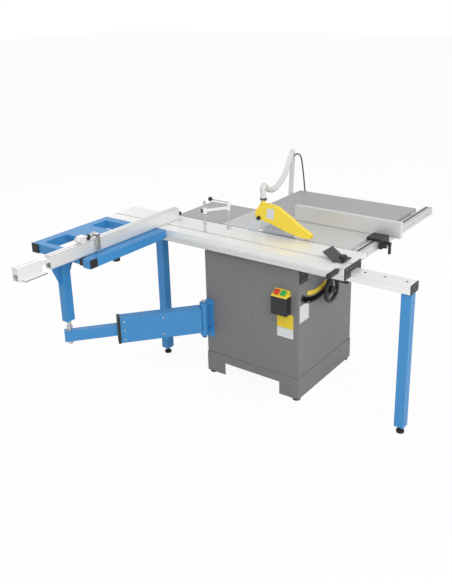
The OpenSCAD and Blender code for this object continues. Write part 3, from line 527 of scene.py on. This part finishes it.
class FastenerField:
    """Geometry Nodes that set one fastener on every point, turned to its facing."""

    def __init__(self) -> None:
        """Builds the tree with its named inputs."""
        self.tree = bpy.data.node_groups.new("fastener_field", "GeometryNodeTree")
        face = self.tree.interface
        face.new_socket("Geometry", in_out="INPUT", socket_type="NodeSocketGeometry")
        for name in ("Head radius", "Head height", "Socket radius", "Washer radius"):
            face.new_socket(name, in_out="INPUT", socket_type="NodeSocketFloat")
        for name in ("Sides", "Seed"):
            face.new_socket(name, in_out="INPUT", socket_type="NodeSocketInt")
        face.new_socket("Finish", in_out="INPUT", socket_type="NodeSocketMaterial")
        face.new_socket("Geometry", in_out="OUTPUT", socket_type="NodeSocketGeometry")
        self.source = self.add("NodeGroupInput")
        self.wire_tree()

    def add(self, kind: str, settings: dict | None = None, inputs: dict | None = None) -> Any:
        """Adds a node with its settings, values and links."""
        return new_node(self.tree, kind, settings, inputs)

    def math(self, operation: str, a: Any, b: Any) -> Any:
        """Adds a Math node and gives its output."""
        return self.add("ShaderNodeMath", {"operation": operation}, {0: a, 1: b}).outputs[0]

    def disc(self, sides: Any, radius: Any, depth: Any) -> Any:
        """Adds a cylinder about Z with its middle at the origin."""
        sizes = {"Vertices": sides, "Radius": radius, "Depth": depth}
        return self.add("GeometryNodeMeshCylinder", {}, sizes).outputs[0]

    def lifted(self, geometry: Any, height: Any) -> Any:
        """Moves a geometry up by a height."""
        up = self.add("ShaderNodeCombineXYZ", {}, {"Z": height}).outputs[0]
        return self.add("GeometryNodeTransform", {}, {"Geometry": geometry, "Translation": up}).outputs[0]

    def wire_tree(self) -> None:
        """Joins the nodes: head less socket, washer, instances, one mesh and its finish."""
        ins = self.source.outputs
        head = self.disc(ins["Sides"], ins["Head radius"], ins["Head height"])
        head = self.lifted(head, self.math("MULTIPLY", ins["Head height"], 0.5))
        bore = self.lifted(self.disc(6, ins["Socket radius"], ins["Head height"]), ins["Head height"])
        cut = self.add("GeometryNodeMeshBoolean", {"operation": "DIFFERENCE", "solver": "EXACT"}, {0: head})
        self.tree.links.new(bore, cut.inputs[1])
        plate = self.disc(24, ins["Washer radius"], WASHER * MM)
        joined = self.add("GeometryNodeJoinGeometry")
        self.tree.links.new(self.lifted(plate, WASHER / 2 * MM), joined.inputs[0])
        self.tree.links.new(cut.outputs[0], joined.inputs[0])
        facing = self.add("GeometryNodeInputNamedAttribute", {"data_type": "FLOAT_VECTOR"},
                          {"Name": "facing"})
        turned = self.add("FunctionNodeAlignRotationToVector", {"axis": "Z"},
                          {"Vector": facing.outputs[0]})
        chance = self.add("FunctionNodeRandomValue", {"data_type": "FLOAT"}, {"Seed": ins["Seed"]})
        chance.inputs[3].default_value = math.tau
        spin = self.add("ShaderNodeCombineXYZ", {}, {"Z": chance.outputs[1]}).outputs[0]
        spin = self.add("FunctionNodeEulerToRotation", {}, {0: spin}).outputs[0]
        turned = self.add("FunctionNodeRotateRotation", {"rotation_space": "LOCAL"},
                          {0: turned.outputs[0], 1: spin}).outputs[0]
        spread = {"Points": ins["Geometry"], "Instance": joined.outputs[0], "Rotation": turned}
        many = self.add("GeometryNodeInstanceOnPoints", {}, spread).outputs[0]
        real = self.add("GeometryNodeRealizeInstances", {}, {0: many}).outputs[0]
        done = self.add("GeometryNodeSetMaterial", {},
                        {"Geometry": real, "Material": ins["Finish"]}).outputs[0]
        self.tree.links.new(done, self.add("NodeGroupOutput").inputs[0])

    def fit(self, name: str, body: str, kind: Head, places: Sequence[tuple[Point, Point]],
            finish: Finish = STEEL, seed: int = 7) -> bpy.types.Object:
        """Sets fasteners on a body.

        Args:
            name: the piece's name.
            body: the CAD body that they ride on.
            kind: which fastener.
            places: seat point and facing of each, in millimetres of the saw.
            finish: their surface.
            seed: fixes how each is turned.

        Returns:
            The new object, a plain mesh.
        """
        data = bpy.data.meshes.new(name)
        data.from_pydata([at(*p) for p, _ in places], [], [])
        facing = data.attributes.new("facing", "FLOAT_VECTOR", "POINT")
        for i, (_, way) in enumerate(places):
            facing.data[i].vector = Vector(way).normalized()
        made = placed(name, data)
        field = made.modifiers.new("field", "NODES")
        field.node_group = self.tree
        form = kind.value
        values = {"Head radius": form.head * MM, "Head height": form.height * MM,
                  "Socket radius": max(form.socket, LEAST_SOCKET) * MM,
                  "Washer radius": max(form.washer, LEAST_WASHER) * MM,
                  "Sides": form.sides, "Seed": seed, "Finish": finish.material()}
        for item in self.tree.interface.items_tree:
            if item.in_out == "INPUT" and item.name in values:
                field[item.identifier] = values[item.name]
        solid = bpy.data.meshes.new_from_object(made.evaluated_get(bpy.context.evaluated_depsgraph_get()))
        made.modifiers.clear()
        made.data = solid
        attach(made, body)
        log.info("%s: %d fasteners on %s", name, len(places), body)
        return made


def dress(finish: Finish | bpy.types.Material, *nodes: str) -> None:
    """Gives CAD nodes a finish."""
    material = finish.material() if isinstance(finish, Finish) else finish
    for name in nodes:
        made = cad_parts[name]
        made.data.materials.clear()
        made.data.materials.append(material)
        log.info("%s dressed in %s", name, material.name)


STOP_KNOB = ((7, 0), (14, 1), (15, 5), (15, 13), (11, 16), (5, 17))
END_KNOB = ((4, 0), (4, 18), (9, 20), (11, 23), (11, 33), (8, 37), (3, 38))
ARM_KNOB = ((5, 0), (9, 1), (10, 4), (10, 12), (8, 15), (3, 16.6))


def star_knob(name: str, body: str, profile: Sequence[Point], turn: Matrix, sides: int = 36,
              bulge: float = 0.05) -> None:
    """Adds a black knob with six soft lobes."""
    Stock().lathe(profile, turn, sides, 6, bulge).piece(name, body, PLASTIC)


@dataclass
class Part(ABC):
    """A part of the machine that dresses its nodes and adds its small fittings."""

    field: FastenerField

    @abstractmethod
    def build(self) -> None:
        """Does the part's work."""


@dataclass
class Cabinet(Part):
    """Sheet cabinet on its plinth, with the switch, the dial and the plates that carry no words."""

    left: float = -187.0
    front: float = 183.0
    right: float = 403.0
    back: float = 787.0
    panel_y: tuple[float, float] = (487.0, 781.0)
    screw_z: tuple[float, float, float] = (160.0, 440.0, 722.0)
    plate: float = 0.6
    cover_tilt: float = -35.0
    cover_middle: Point = (-233.0, 277.0, 608.0)
    button_step: float = 20.0
    button_half: float = 15.0

    def build(self) -> None:
        """Dresses the nodes and adds the small fittings."""
        dress(GREY_PAINT, "plinth", "cabinet")
        dress(RUBBER, "levelling_feet")
        dress(PLASTIC, "switch_box")
        dress(YELLOW, "switch_cover")
        dress(GREEN, "start_button")
        dress(RED, "stop_button")
        turn = Matrix.Rotation(math.radians(self.cover_tilt), 4, "Y")
        cover = Matrix.Translation(self.cover_middle) @ turn
        for side, body, finish in ((-1, "start_button_body", GREEN), (1, "stop_button_body", RED)):
            y, half = side * self.button_step, self.button_half
            cap = Stock().block((10, y - half, 6), (42, y + half, 8.5), cover)
            cap.piece(f"{body}_cap", body, finish, 1.2)
        dress(dial_finish(), "tilt_scale")
        self.plates()
        self.hook()
        self.screws()

    def plates(self) -> None:
        """Bare plates where the machine has its labels."""
        x, y, thick = self.left, self.front, self.plate
        for name, low, high, finish in (
                ("switch_plate_yellow", (x - thick, 214, 417), (x, 314, 500), PLATE_YELLOW),
                ("switch_plate_pale", (x - thick, 214, 362), (x, 314, 416.4), PLATE_PALE),
                ("front_plate_pale", (-175, y - thick, 457), (-82, y, 553), PLATE_PALE)):
            Stock().block(low, high).piece(name, "base", finish, 0.3)

    def hook(self) -> None:
        """Wire hook for the push stick on the right wall."""
        x = self.right
        bend = [(x, 212, 330), (x + 10, 212, 330), (x + 15, 212, 326), (x + 15, 212, 300), (x + 18, 212, 289),
                (x + 26, 212, 284), (x + 34, 212, 289), (x + 37, 212, 300)]
        Stock().wire(bend, 2.2).piece("push_stick_hook", "base", STEEL)

    def screws(self) -> None:
        """Screws of the panel, the switch, the back and the right wall."""
        low, high = self.panel_y
        bottom, _, top = self.screw_z
        side = [((self.left - 1.5, y, z), (-1, 0, 0)) for y in (low + 12, high - 12) for z in self.screw_z]
        self.field.fit("panel_screws", "base", Head.SMALL, side)
        switch = [((self.left, y, 622), (-1, 0, 0)) for y in (236, 318)]
        self.field.fit("switch_screws", "base", Head.SMALL, switch)
        back = [((x, self.back, z), (0, 1, 0)) for x in (-165, 108, 381) for z in self.screw_z]
        self.field.fit("rear_screws", "base", Head.SMALL, back)
        right = [((self.right, y, z), (1, 0, 0)) for y in (205, 765) for z in (bottom, top)]
        self.field.fit("right_screws", "base", Head.SMALL, right)


@dataclass
class Tables(Part):
    """Cast main table, the two sheet extensions and the rails of the rip fence and the carriage."""

    rail_x: float = -140.0
    rail_top: float = 806.0
    rail_front: float = -407.0
    rail_screw_y: tuple[float, ...] = (-372, -263, -160, 60, 260, 460, 660, 860, 1060, 1160)
    rip_bolt_x: tuple[float, ...] = (60, 260, 460, 660, 860)

    def build(self) -> None:
        """Dresses the nodes and adds screws, a dark strip painted as the shade of the rail's groove, table
        insert and hose hook.
        """
        dress(GROUND_IRON, "main_table")
        dress(SHEET_GREY, "right_extension", "rear_extension")
        dress(RAIL_RULE, "rip_rail")
        dress(EXTRUSION, "carriage_rail")
        dress(PLASTIC, "rail_fittings")
        dress(BLUE_PAINT, "support_legs")
        self.rail_screws()
        self.rip_bolts()
        # Dark strip a hair proud of the rip rail's top: painted shade of its groove.
        Stock().block((3, -49, 846.9), (926, -35, 847.12)).piece("rip_rail_groove_shade", "base", BLACKED)
        insert = Stock().block((4.4, 275.4, TABLE_H - 0.5), (43.6, 644.6, TABLE_H - 0.08))
        insert.piece("table_insert", "base", EXTRUSION)
        self.hose_hook()

    def rail_screws(self) -> None:
        """Countersunk screws along the rail and the screws of its end caps."""
        spots = [((self.rail_x, y, self.rail_top), (0, 0, 1)) for y in self.rail_screw_y]
        self.field.fit("rail_screws", "base", Head.FLAT, spots, BLACKED)
        ends = [((self.rail_x + dx, self.rail_front - 6, z), (0, -1, 0))
                for dx in (-28, 28) for z in (770, 796)]
        self.field.fit("rail_end_screws", "base", Head.SMALL, ends)

    def rip_bolts(self) -> None:
        """Bolts that hold the rip fence rail to the table edge."""
        spots = [((x, -70, 826), (0, -1, 0)) for x in self.rip_bolt_x]
        self.field.fit("rip_rail_bolts", "base", Head.SOCKET, spots)

    def hose_hook(self) -> None:
        """Bent rod that carries the hose, in place of the plain one of the CAD."""
        plate = ((855, 753, 810), (858, 783, 840))
        line = [(863, 768, 810), (863, 768, 830), (862, 768, 846), (856, 768, 880), (849, 768, 920),
                (833, 768, 1000), (822, 769, 1050), (816, 770, 1076), (808, 772, 1093), (798, 775, 1104),
                (786, 778, 1109), (774, 781, 1110), (763, 784, 1108), (752, 787, 1104)]
        made = Stock().block(*plate).wire(line, 4.6, 14).piece("hose_hook", "base", BLACKED)
        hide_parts("hose_support")


@dataclass
class Carriage(Part):
    """Rolling carriage with its caps and handle, and the outrigger frame that it carries."""

    front: float = -101.0
    back: float = 1479.0
    post: Point = (-800.0, 1250.0, 0.0)
    rod_foot: float = 420.0
    rod_radius: float = 10.5
    nut_reach: float = 17.4
    screw_z: tuple[float, float] = (800.0, 838.0)

    def build(self) -> None:
        """Dresses the nodes and adds the post's steel rod, the cap screws and the dark lines painted as shade
        between the side ribs.
        """
        dress(EXTRUSION, "carriage_table")
        dress(PLASTIC, "carriage_caps", "push_handle", "outrigger_caps")
        dress(BLUE_PAINT, "outrigger_frame", "support_post")
        dress(STEEL, "ball_cages")
        foot, low, wide = Matrix.Translation(self.post), self.rod_foot, self.rod_radius
        rod = Stock().lathe([(9, low), (wide, low + 0.2), (wide, low + 29.8), (9, low + 30)], foot, 28)
        sixths = [math.pi * k / 3 for k in range(6)]
        nut = [(self.nut_reach * math.cos(a), self.nut_reach * math.sin(a)) for a in sixths]
        rod.prism(nut, low - 12.4, low + 0.3, foot).piece("support_rod", "carriage", STEEL)
        ends = [((x, self.front - 5, z), (0, -1, 0)) for x in (-228, -196, -84, -48) for z in self.screw_z
                if (x, z) != (-84, 800)]
        self.field.fit("cap_screws", "carriage", Head.SMALL, ends)
        rear = [((x, self.back + 5, z), (0, 1, 0)) for x in (-228, -196) for z in self.screw_z]
        self.field.fit("rear_cap_screws", "carriage", Head.SMALL, rear)
        self.side_lines()

    def side_lines(self) -> None:
        """Fine dark lines along the side of the profile, painted shade between its ribs and steps."""
        stock = Stock()
        for face, heights in ((-250.0, (809, 805, 801, 797)), (-246.0, (789.4, 786.4))):
            for z in heights:
                stock.block((face - 0.25, self.front, z), (face, self.back, z + 0.9))
        stock.piece("profile_side_shade_lines", "carriage", LINE_SHADE_GREY)


@dataclass
class CrosscutFence(Part):
    """Crosscut fence with its rule, end knob, pull-out extension and flip stop."""

    face: float = 1070.0
    ends: tuple[float, float] = (-1019.5, -64.5)
    line_depth: float = 0.25

    def build(self) -> None:
        """Dresses the nodes and adds the dark sole, the dark lines painted as shade at the face's edges, and
        two knobs.
        """
        dress(FENCE_RULE, "crosscut_fence")
        dress(EXTRUSION_X, "fence_extension", "stop_block")
        dress(PLASTIC, "fence_knob")
        dress(STEEL, "stop_arm")
        star_knob("stop_knob", "stop", STOP_KNOB, axis_turn((-760, 1090, 937), (1, 0, 0)), 48, 0.06)
        sole = Stock().block((-1190.6, 1049.4, 847.4), (-1059.4, 1140.6, 851.9))
        sole.piece("extension_sole", "extension", BLACKED, 0.8)
        # Thin dark strips along the fence face near its top and bottom: painted shade at the profile's edge
        # steps.
        lines = Stock()
        for z, high in ((917.0, 0.9), (857.0, 0.8)):
            low = (self.ends[0], self.face - self.line_depth, z)
            lines.block(low, (self.ends[1], self.face, z + high))
        lines.piece("fence_edge_shade_lines", "fence", LINE_SHADE_GREY)
        star_knob("fence_end_knob", "fence", END_KNOB, axis_turn((-60, 1090, 876), (1, 0, 0)))


@dataclass
class HoldDown(Part):
    """Clamp on the carriage and the ripping shoe at its front end."""

    post: Point = (-168.0, 792.0, 975.0)
    pivot: Point = (-50.0, 718.0, 1001.0)
    lever: float = 110.0
    lean: float = math.radians(72.0)
    ball: float = 12.4
    knob_seat: float = 12.6

    def build(self) -> None:
        """Dresses the nodes and adds the arm's knob and the lever's ball."""
        dress(STEEL, "clamp_post", "clamp_rod", "clamp_lever")
        dress(EXTRUSION, "clamp_arm")
        dress(BLACKED, "ripping_shoe")
        dress(PLASTIC, "shoe_knob")
        post, pivot = Vector(self.post), Vector(self.pivot)
        angle = math.atan2(pivot.y - post.y, pivot.x - post.x)
        along = Vector((math.cos(angle), math.sin(angle), 0.0))
        star_knob("clamp_knob", "clamp_head", ARM_KNOB, axis_turn(post - along * self.knob_seat, -along))
        reach, rise = self.lever * math.sin(self.lean), self.lever * math.cos(self.lean)
        tip = pivot - along * reach + Vector((0, 0, rise))
        round_off = [math.radians(a) for a in range(4, 180, 8)]
        ball = [(self.ball * math.sin(a), -self.ball * math.cos(a)) for a in round_off]
        Stock().lathe(ball, axis_turn(tip, (0, 0, 1))).piece("clamp_ball", "clamp_handle", PLASTIC)


@dataclass
class SwingArm(Part):
    """Telescopic arm that carries the outrigger, on its bracket at the cabinet."""

    pivot: tuple[float, float] = (-235.0, 772.0)
    post: tuple[float, float] = (-800.0, 1250.0)
    low: float = 285.0
    high: float = 435.0
    bracket: float = 120.0
    bolt_spots: tuple[tuple[float, float], ...] = (
        (0.50, 410), (0.50, 312), (0.955, 412), (0.955, 360), (0.955, 308))

    def build(self) -> None:
        """Dresses the nodes and adds the bolts of the arm."""
        dress(BLUE_PAINT, "arm_bracket", "swing_box", "swing_tube")
        dress(PLASTIC, "swing_cap")
        dress(STEEL, "support_nuts")
        self.bolts()

    def bolts(self) -> None:
        """Bolts of the rollers on both faces of the box, and the pivot's nuts."""
        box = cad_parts["swing_box"]
        start = Vector((*self.pivot, 0.0))
        along = (Vector((*self.post, 0.0)) - start).normalized()
        side = Vector((-along.y, along.x, 0.0))
        reach = [(v.co / MM - SHIFT - start) for v in box.data.vertices]
        half = max(abs(p.dot(side)) for p in reach if p.dot(along) > self.bracket)
        length = max(p.dot(along) for p in reach)
        spots = []
        for share, z in self.bolt_spots:
            middle = start + along * (length * share) + Vector((0, 0, z))
            spots += [(middle + side * (half * s), side * s) for s in (-1, 1)]
        self.field.fit("arm_bolts", "arm_box", Head.SOCKET, spots)
        pins = [((*self.pivot, self.high + 30), (0, 0, 1)), ((*self.pivot, self.low - 36), (0, 0, -1))]
        self.field.fit("pivot_nuts", "base", Head.LARGE_HEX, pins)


@dataclass
class BladeUnit(Part):
    """Blade, arbor, motor and drive on their tilting cradle, and the handwheel that lifts them."""

    def build(self) -> None:
        """Dresses the nodes."""
        dress(IRON, "trunnions", "tilt_cradle", "lift_casting")
        dress(DARK_PAINT, "motor")
        dress(RUBBER, "drive_belt")
        dress(BLADE_STEEL_PAINTED_BANDS, "saw_blade")
        dress(KNIFE_STEEL, "riving_knife")
        dress(STEEL, "arbor", "motor_pulley")
        dress(PLASTIC, "handwheel", "wheel_grip")


@dataclass
class Guard(Part):
    """Yellow blade guard with its bolt, its bare plate and the band of the hose."""

    outer_face: float = -13.0
    plate: float = 0.4
    spigot: Point = (0.0, 520.0, 1035.0)

    def build(self) -> None:
        """Dresses the nodes and adds a bare plate and the hose band."""
        dress(YELLOW, "blade_guard")
        dress(PLASTIC, "guard_knob")
        across = Matrix(((0, 0, 1, 0), (1, 0, 0, 0), (0, 1, 0, 0), (0, 0, 0, 1)))
        corners = [(447, 936), (494, 941), (486, 995), (441, 996)]
        plate = Stock().prism(corners, self.outer_face - self.plate, self.outer_face, across)
        plate.piece("guard_plate_pale", "guard", PLATE_PALE)
        ring = [(15, 0), (17.6, 0.4), (17.6, 9.6), (15, 10)]
        band = Stock().lathe(ring, axis_turn(self.spigot, (0, 0, 1)), 40)
        band.block((-6, 500, 1034), (6, 505, 1046)).piece("hose_band", "guard", BLACKED, 0.5)


@dataclass
class RipFence(Part):
    """Rip fence plate on its head, with the clamping lever."""

    def build(self) -> None:
        """Dresses the nodes."""
        dress(FENCE_PLATE, "rip_fence")
        dress(PLASTIC, "rip_head", "rip_lever")


@dataclass
class ExtractionHose:
    """Ribbed hose from the guard over its support rod to the cabinet, in one stretch for each joint."""

    diameter: float = 32.0
    pitch: float = 8.0
    wall: float = 3.0
    groove_outside: float = 1.7
    groove_inside: float = 1.2
    sides: int = 20
    route: tuple[Point, ...] = (
        (0, 520, 1032), (0, 520, 1064), (-2, 522, 1090), (22, 530, 1106), (70, 552, 1088),
        (111, 569, 1065.5), (200, 600, 1032), (290, 632, 1018), (390, 666, 1020), (480, 696, 1034),
        (550, 720, 1054), (620, 744, 1086), (690, 770, 1118), (745, 795, 1130), (790, 818, 1104),
        (800, 826, 1050), (796, 830, 960), (786, 830, 840), (768, 826, 700), (720, 805, 590),
        (640, 766, 525), (550, 734, 500), (470, 720, 500), (430, 720, 500))
    cuts: tuple[int, ...] = (0, 2, 3, 5, 13, 23)
    still_from: int = 9
    stretches: tuple[tuple[str, str, str | None], ...] = (
        ("hose_guard", "guard", "guard_bolt"), ("hose_bend", "guard_bolt", "lift"),
        ("hose_sag", "lift", "cradle"), ("hose_rise", "cradle", "base"), ("hose_drop", "base", None))
    first_cord: int = 3

    def curve(self, i: int, t: float) -> Vector:
        """Point of the route between two of its points, as the CAD solid has it."""
        last = len(self.route) - 1
        a, b = Vector(self.route[max(i - 1, 0)]), Vector(self.route[i])
        c, d = Vector(self.route[min(i + 1, last)]), Vector(self.route[min(i + 2, last)])
        square, cube = 2 * a - 5 * b + 4 * c - d, 3 * b - a - 3 * c + d
        return 0.5 * (2 * b + (c - a) * t + square * t * t + cube * t ** 3)

    def line(self, first: int, last: int) -> list[Vector]:
        """Close points of the route between two of its points."""
        points = []
        for i in range(first, last):
            span = (Vector(self.route[i + 1]) - Vector(self.route[i])).length
            steps = max(4, round(span / self.pitch * 4))
            points += [self.curve(i, k / steps) for k in range(steps)]
        return points + [Vector(self.route[last])]

    def tube(self, name: str, node: str, points: list[Vector]) -> bpy.types.Object:
        """Makes one ribbed stretch.

        Args:
            name: the piece's name.
            node: the CAD node that it stands for.
            points: the line that it follows.

        Returns:
            The new object.
        """
        outer = self.diameter / 2
        rings, across = [], Vector((1.0, 0.2, 0.0))
        run = 0.0
        for i, p in enumerate(points):
            ahead = (points[min(i + 1, len(points) - 1)] - points[max(i - 1, 0)]).normalized()
            across = (across - ahead * across.dot(ahead)).normalized()
            other = ahead.cross(across)
            run += (p - points[i - 1]).length if i else 0.0
            rib = 0.5 + 0.5 * math.cos(2 * math.pi * run / self.pitch)
            for radius in (outer - self.groove_outside * (1.0 - rib),
                           outer - self.wall - self.groove_inside * (1.0 - rib)):
                rings.append([p + radius * (math.cos(a) * across + math.sin(a) * other)
                              for a in (2 * math.pi * k / self.sides for k in range(self.sides))])
        verts = [(v + SHIFT) * MM for ring in rings for v in ring]
        n, count, faces = self.sides, len(points), []
        for j in range(count - 1):
            for k in range(n):
                m = (k + 1) % n
                o, q = 2 * j * n, 2 * (j + 1) * n
                faces.append((o + k, o + m, q + m, q + k))
                faces.append((o + n + m, o + n + k, q + n + k, q + n + m))
        end = 2 * (count - 1) * n
        for k in range(n):
            m = (k + 1) % n
            faces.append((m, k, n + k, n + m))
            faces.append((end + k, end + m, end + n + m, end + n + k))
        data = bpy.data.meshes.new(name)
        data.from_pydata(verts, [], faces)
        data.shade_smooth()
        data.materials.append(HOSE.material())
        made = placed(name, data)
        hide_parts(node)
        log.info("%s stands for %s", name, node)
        return made

    def build(self) -> None:
        for i, (node, body, beyond) in enumerate(self.stretches):
            points = self.line(self.cuts[i], self.cuts[i + 1])
            made = self.tube(node + "_ribbed", node, points)
            if beyond:
                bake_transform(made)
            else:
                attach(made, body)
            if i < self.first_cord:
                continue
            length = sum((b - a).length for a, b in zip(points, points[1:])) * MM


@dataclass
class Studio:
    """Pale floor, soft lamps, white surroundings and the camera."""

    eye: Point = (-3109.323, -1565.474, 2099.955)
    yaw: float = 53.155
    pitch: float = -18.993
    roll: float = -1.516
    focal: float = 720.849
    centre: tuple[float, float] = (228.029, 239.605)
    frame_size: tuple[int, int] = (452, 584)
    sensor: float = 36.0
    floor_glow: float = 0.94
    surround: float = 0.62
    aim: Point = (-100.0, 450.0, 600.0)
    lamps: tuple[tuple[str, Point, float, float], ...] = (
        ("key", (-2600, -2600, 3800), 3200, 112.0), ("fill", (2600, -2800, 2600), 3000, 34.0),
        ("back", (600, 3600, 3400), 3200, 40.0))

    def build(self) -> None:
        """Makes camera, floor, world and lamps."""
        self.camera()
        self.floor()
        self.world()
        for lamp in self.lamps:
            self.lamp(*lamp)
        bpy.context.scene.view_settings.view_transform = "Standard"

    def camera(self) -> None:
        """Sets the camera at the photograph's angle."""
        yaw, pitch, roll = (math.radians(a) for a in (self.yaw, self.pitch, self.roll))
        level = math.cos(pitch)
        ahead = Vector((math.sin(yaw) * level, math.cos(yaw) * level, math.sin(pitch)))
        right = Vector((math.cos(yaw), -math.sin(yaw), 0.0))
        up = right.cross(ahead)
        across = right * math.cos(roll) + up * math.sin(roll)
        upward = up * math.cos(roll) - right * math.sin(roll)
        data = bpy.data.cameras.new("camera")
        long_side = max(self.frame_size)
        data.sensor_width = self.sensor
        data.lens = self.focal * data.sensor_width / long_side
        data.shift_x = (self.frame_size[0] / 2 - self.centre[0]) / long_side
        data.shift_y = (self.centre[1] - self.frame_size[1] / 2) / long_side
        data.clip_end = 100.0
        made = placed("camera", data)
        turn = Matrix((across, upward, -ahead)).transposed().to_4x4()
        made.matrix_world = Matrix.Translation(at(*self.eye)) @ turn
        bpy.context.scene.camera = made

    def floor(self) -> None:
        """Wide pale floor that keeps the shadow and shows near white."""
        reach = 30.0
        data = bpy.data.meshes.new("floor")
        corners = [(-reach, -reach, 0), (reach, -reach, 0), (reach, reach, 0), (-reach, reach, 0)]
        data.from_pydata(corners, [], [(0, 1, 2, 3)])
        made = placed("floor", data)
        g = Graph("pale_floor")
        shader = g.node("ShaderNodeBsdfDiffuse", {}, {"Color": (0.86, 0.86, 0.86)})
        glow = g.node("ShaderNodeEmission", {}, {"Color": (1.0, 1.0, 1.0), "Strength": 1.0})
        seen = g.node("ShaderNodeLightPath", out="Is Camera Ray")
        both = g.node("ShaderNodeMixShader", {}, {0: seen * self.floor_glow, 1: shader, 2: glow})
        data.materials.append(g.surface(both))

    def world(self) -> None:
        """White surroundings for the camera and for gloss, a soft grey light for the rest."""
        world = bpy.data.worlds.new("surroundings")
        world.use_nodes = True
        tree = world.node_tree
        tree.nodes.clear()
        seen = new_node(tree, "ShaderNodeLightPath").outputs["Is Camera Ray"]
        level = new_node(tree, "ShaderNodeMapRange", {},
                         {"Value": seen, "To Min": self.surround, "To Max": 1.0}).outputs[0]
        sky = new_node(tree, "ShaderNodeBackground", {}, {"Color": (1.0, 1.0, 1.0), "Strength": level})
        new_node(tree, "ShaderNodeOutputWorld", {}, {"Surface": sky.outputs[0]})
        bpy.context.scene.world = world

    def lamp(self, name: str, place: Point, size: float, power: float) -> None:
        """Adds a large soft lamp that looks at the machine.

        Args:
            name: the lamp's name.
            place: where it hangs, in millimetres of the saw.
            size: side of its square face in millimetres.
            power: its power in watts.
        """
        data = bpy.data.lights.new(name, "AREA")
        data.size, data.energy = size * MM, power
        made = placed(name, data)
        made.location = at(*place)
        aim = at(*self.aim) - made.location
        made.rotation_mode = "QUATERNION"
        made.rotation_quaternion = aim.to_track_quat("-Z", "Y")


def main() -> None:
    """Builds the looks in order."""
    logging.basicConfig(level=logging.INFO, format="%(name)s: %(message)s")
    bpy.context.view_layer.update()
    Studio().build()
    ExtractionHose().build()
    field = FastenerField()
    for part in (Cabinet, Tables, Carriage, CrosscutFence, HoldDown, SwingArm, BladeUnit, Guard, RipFence):
        part(field).build()
    bpy.context.view_layer.update()


if __name__ == "__main__":
    main()
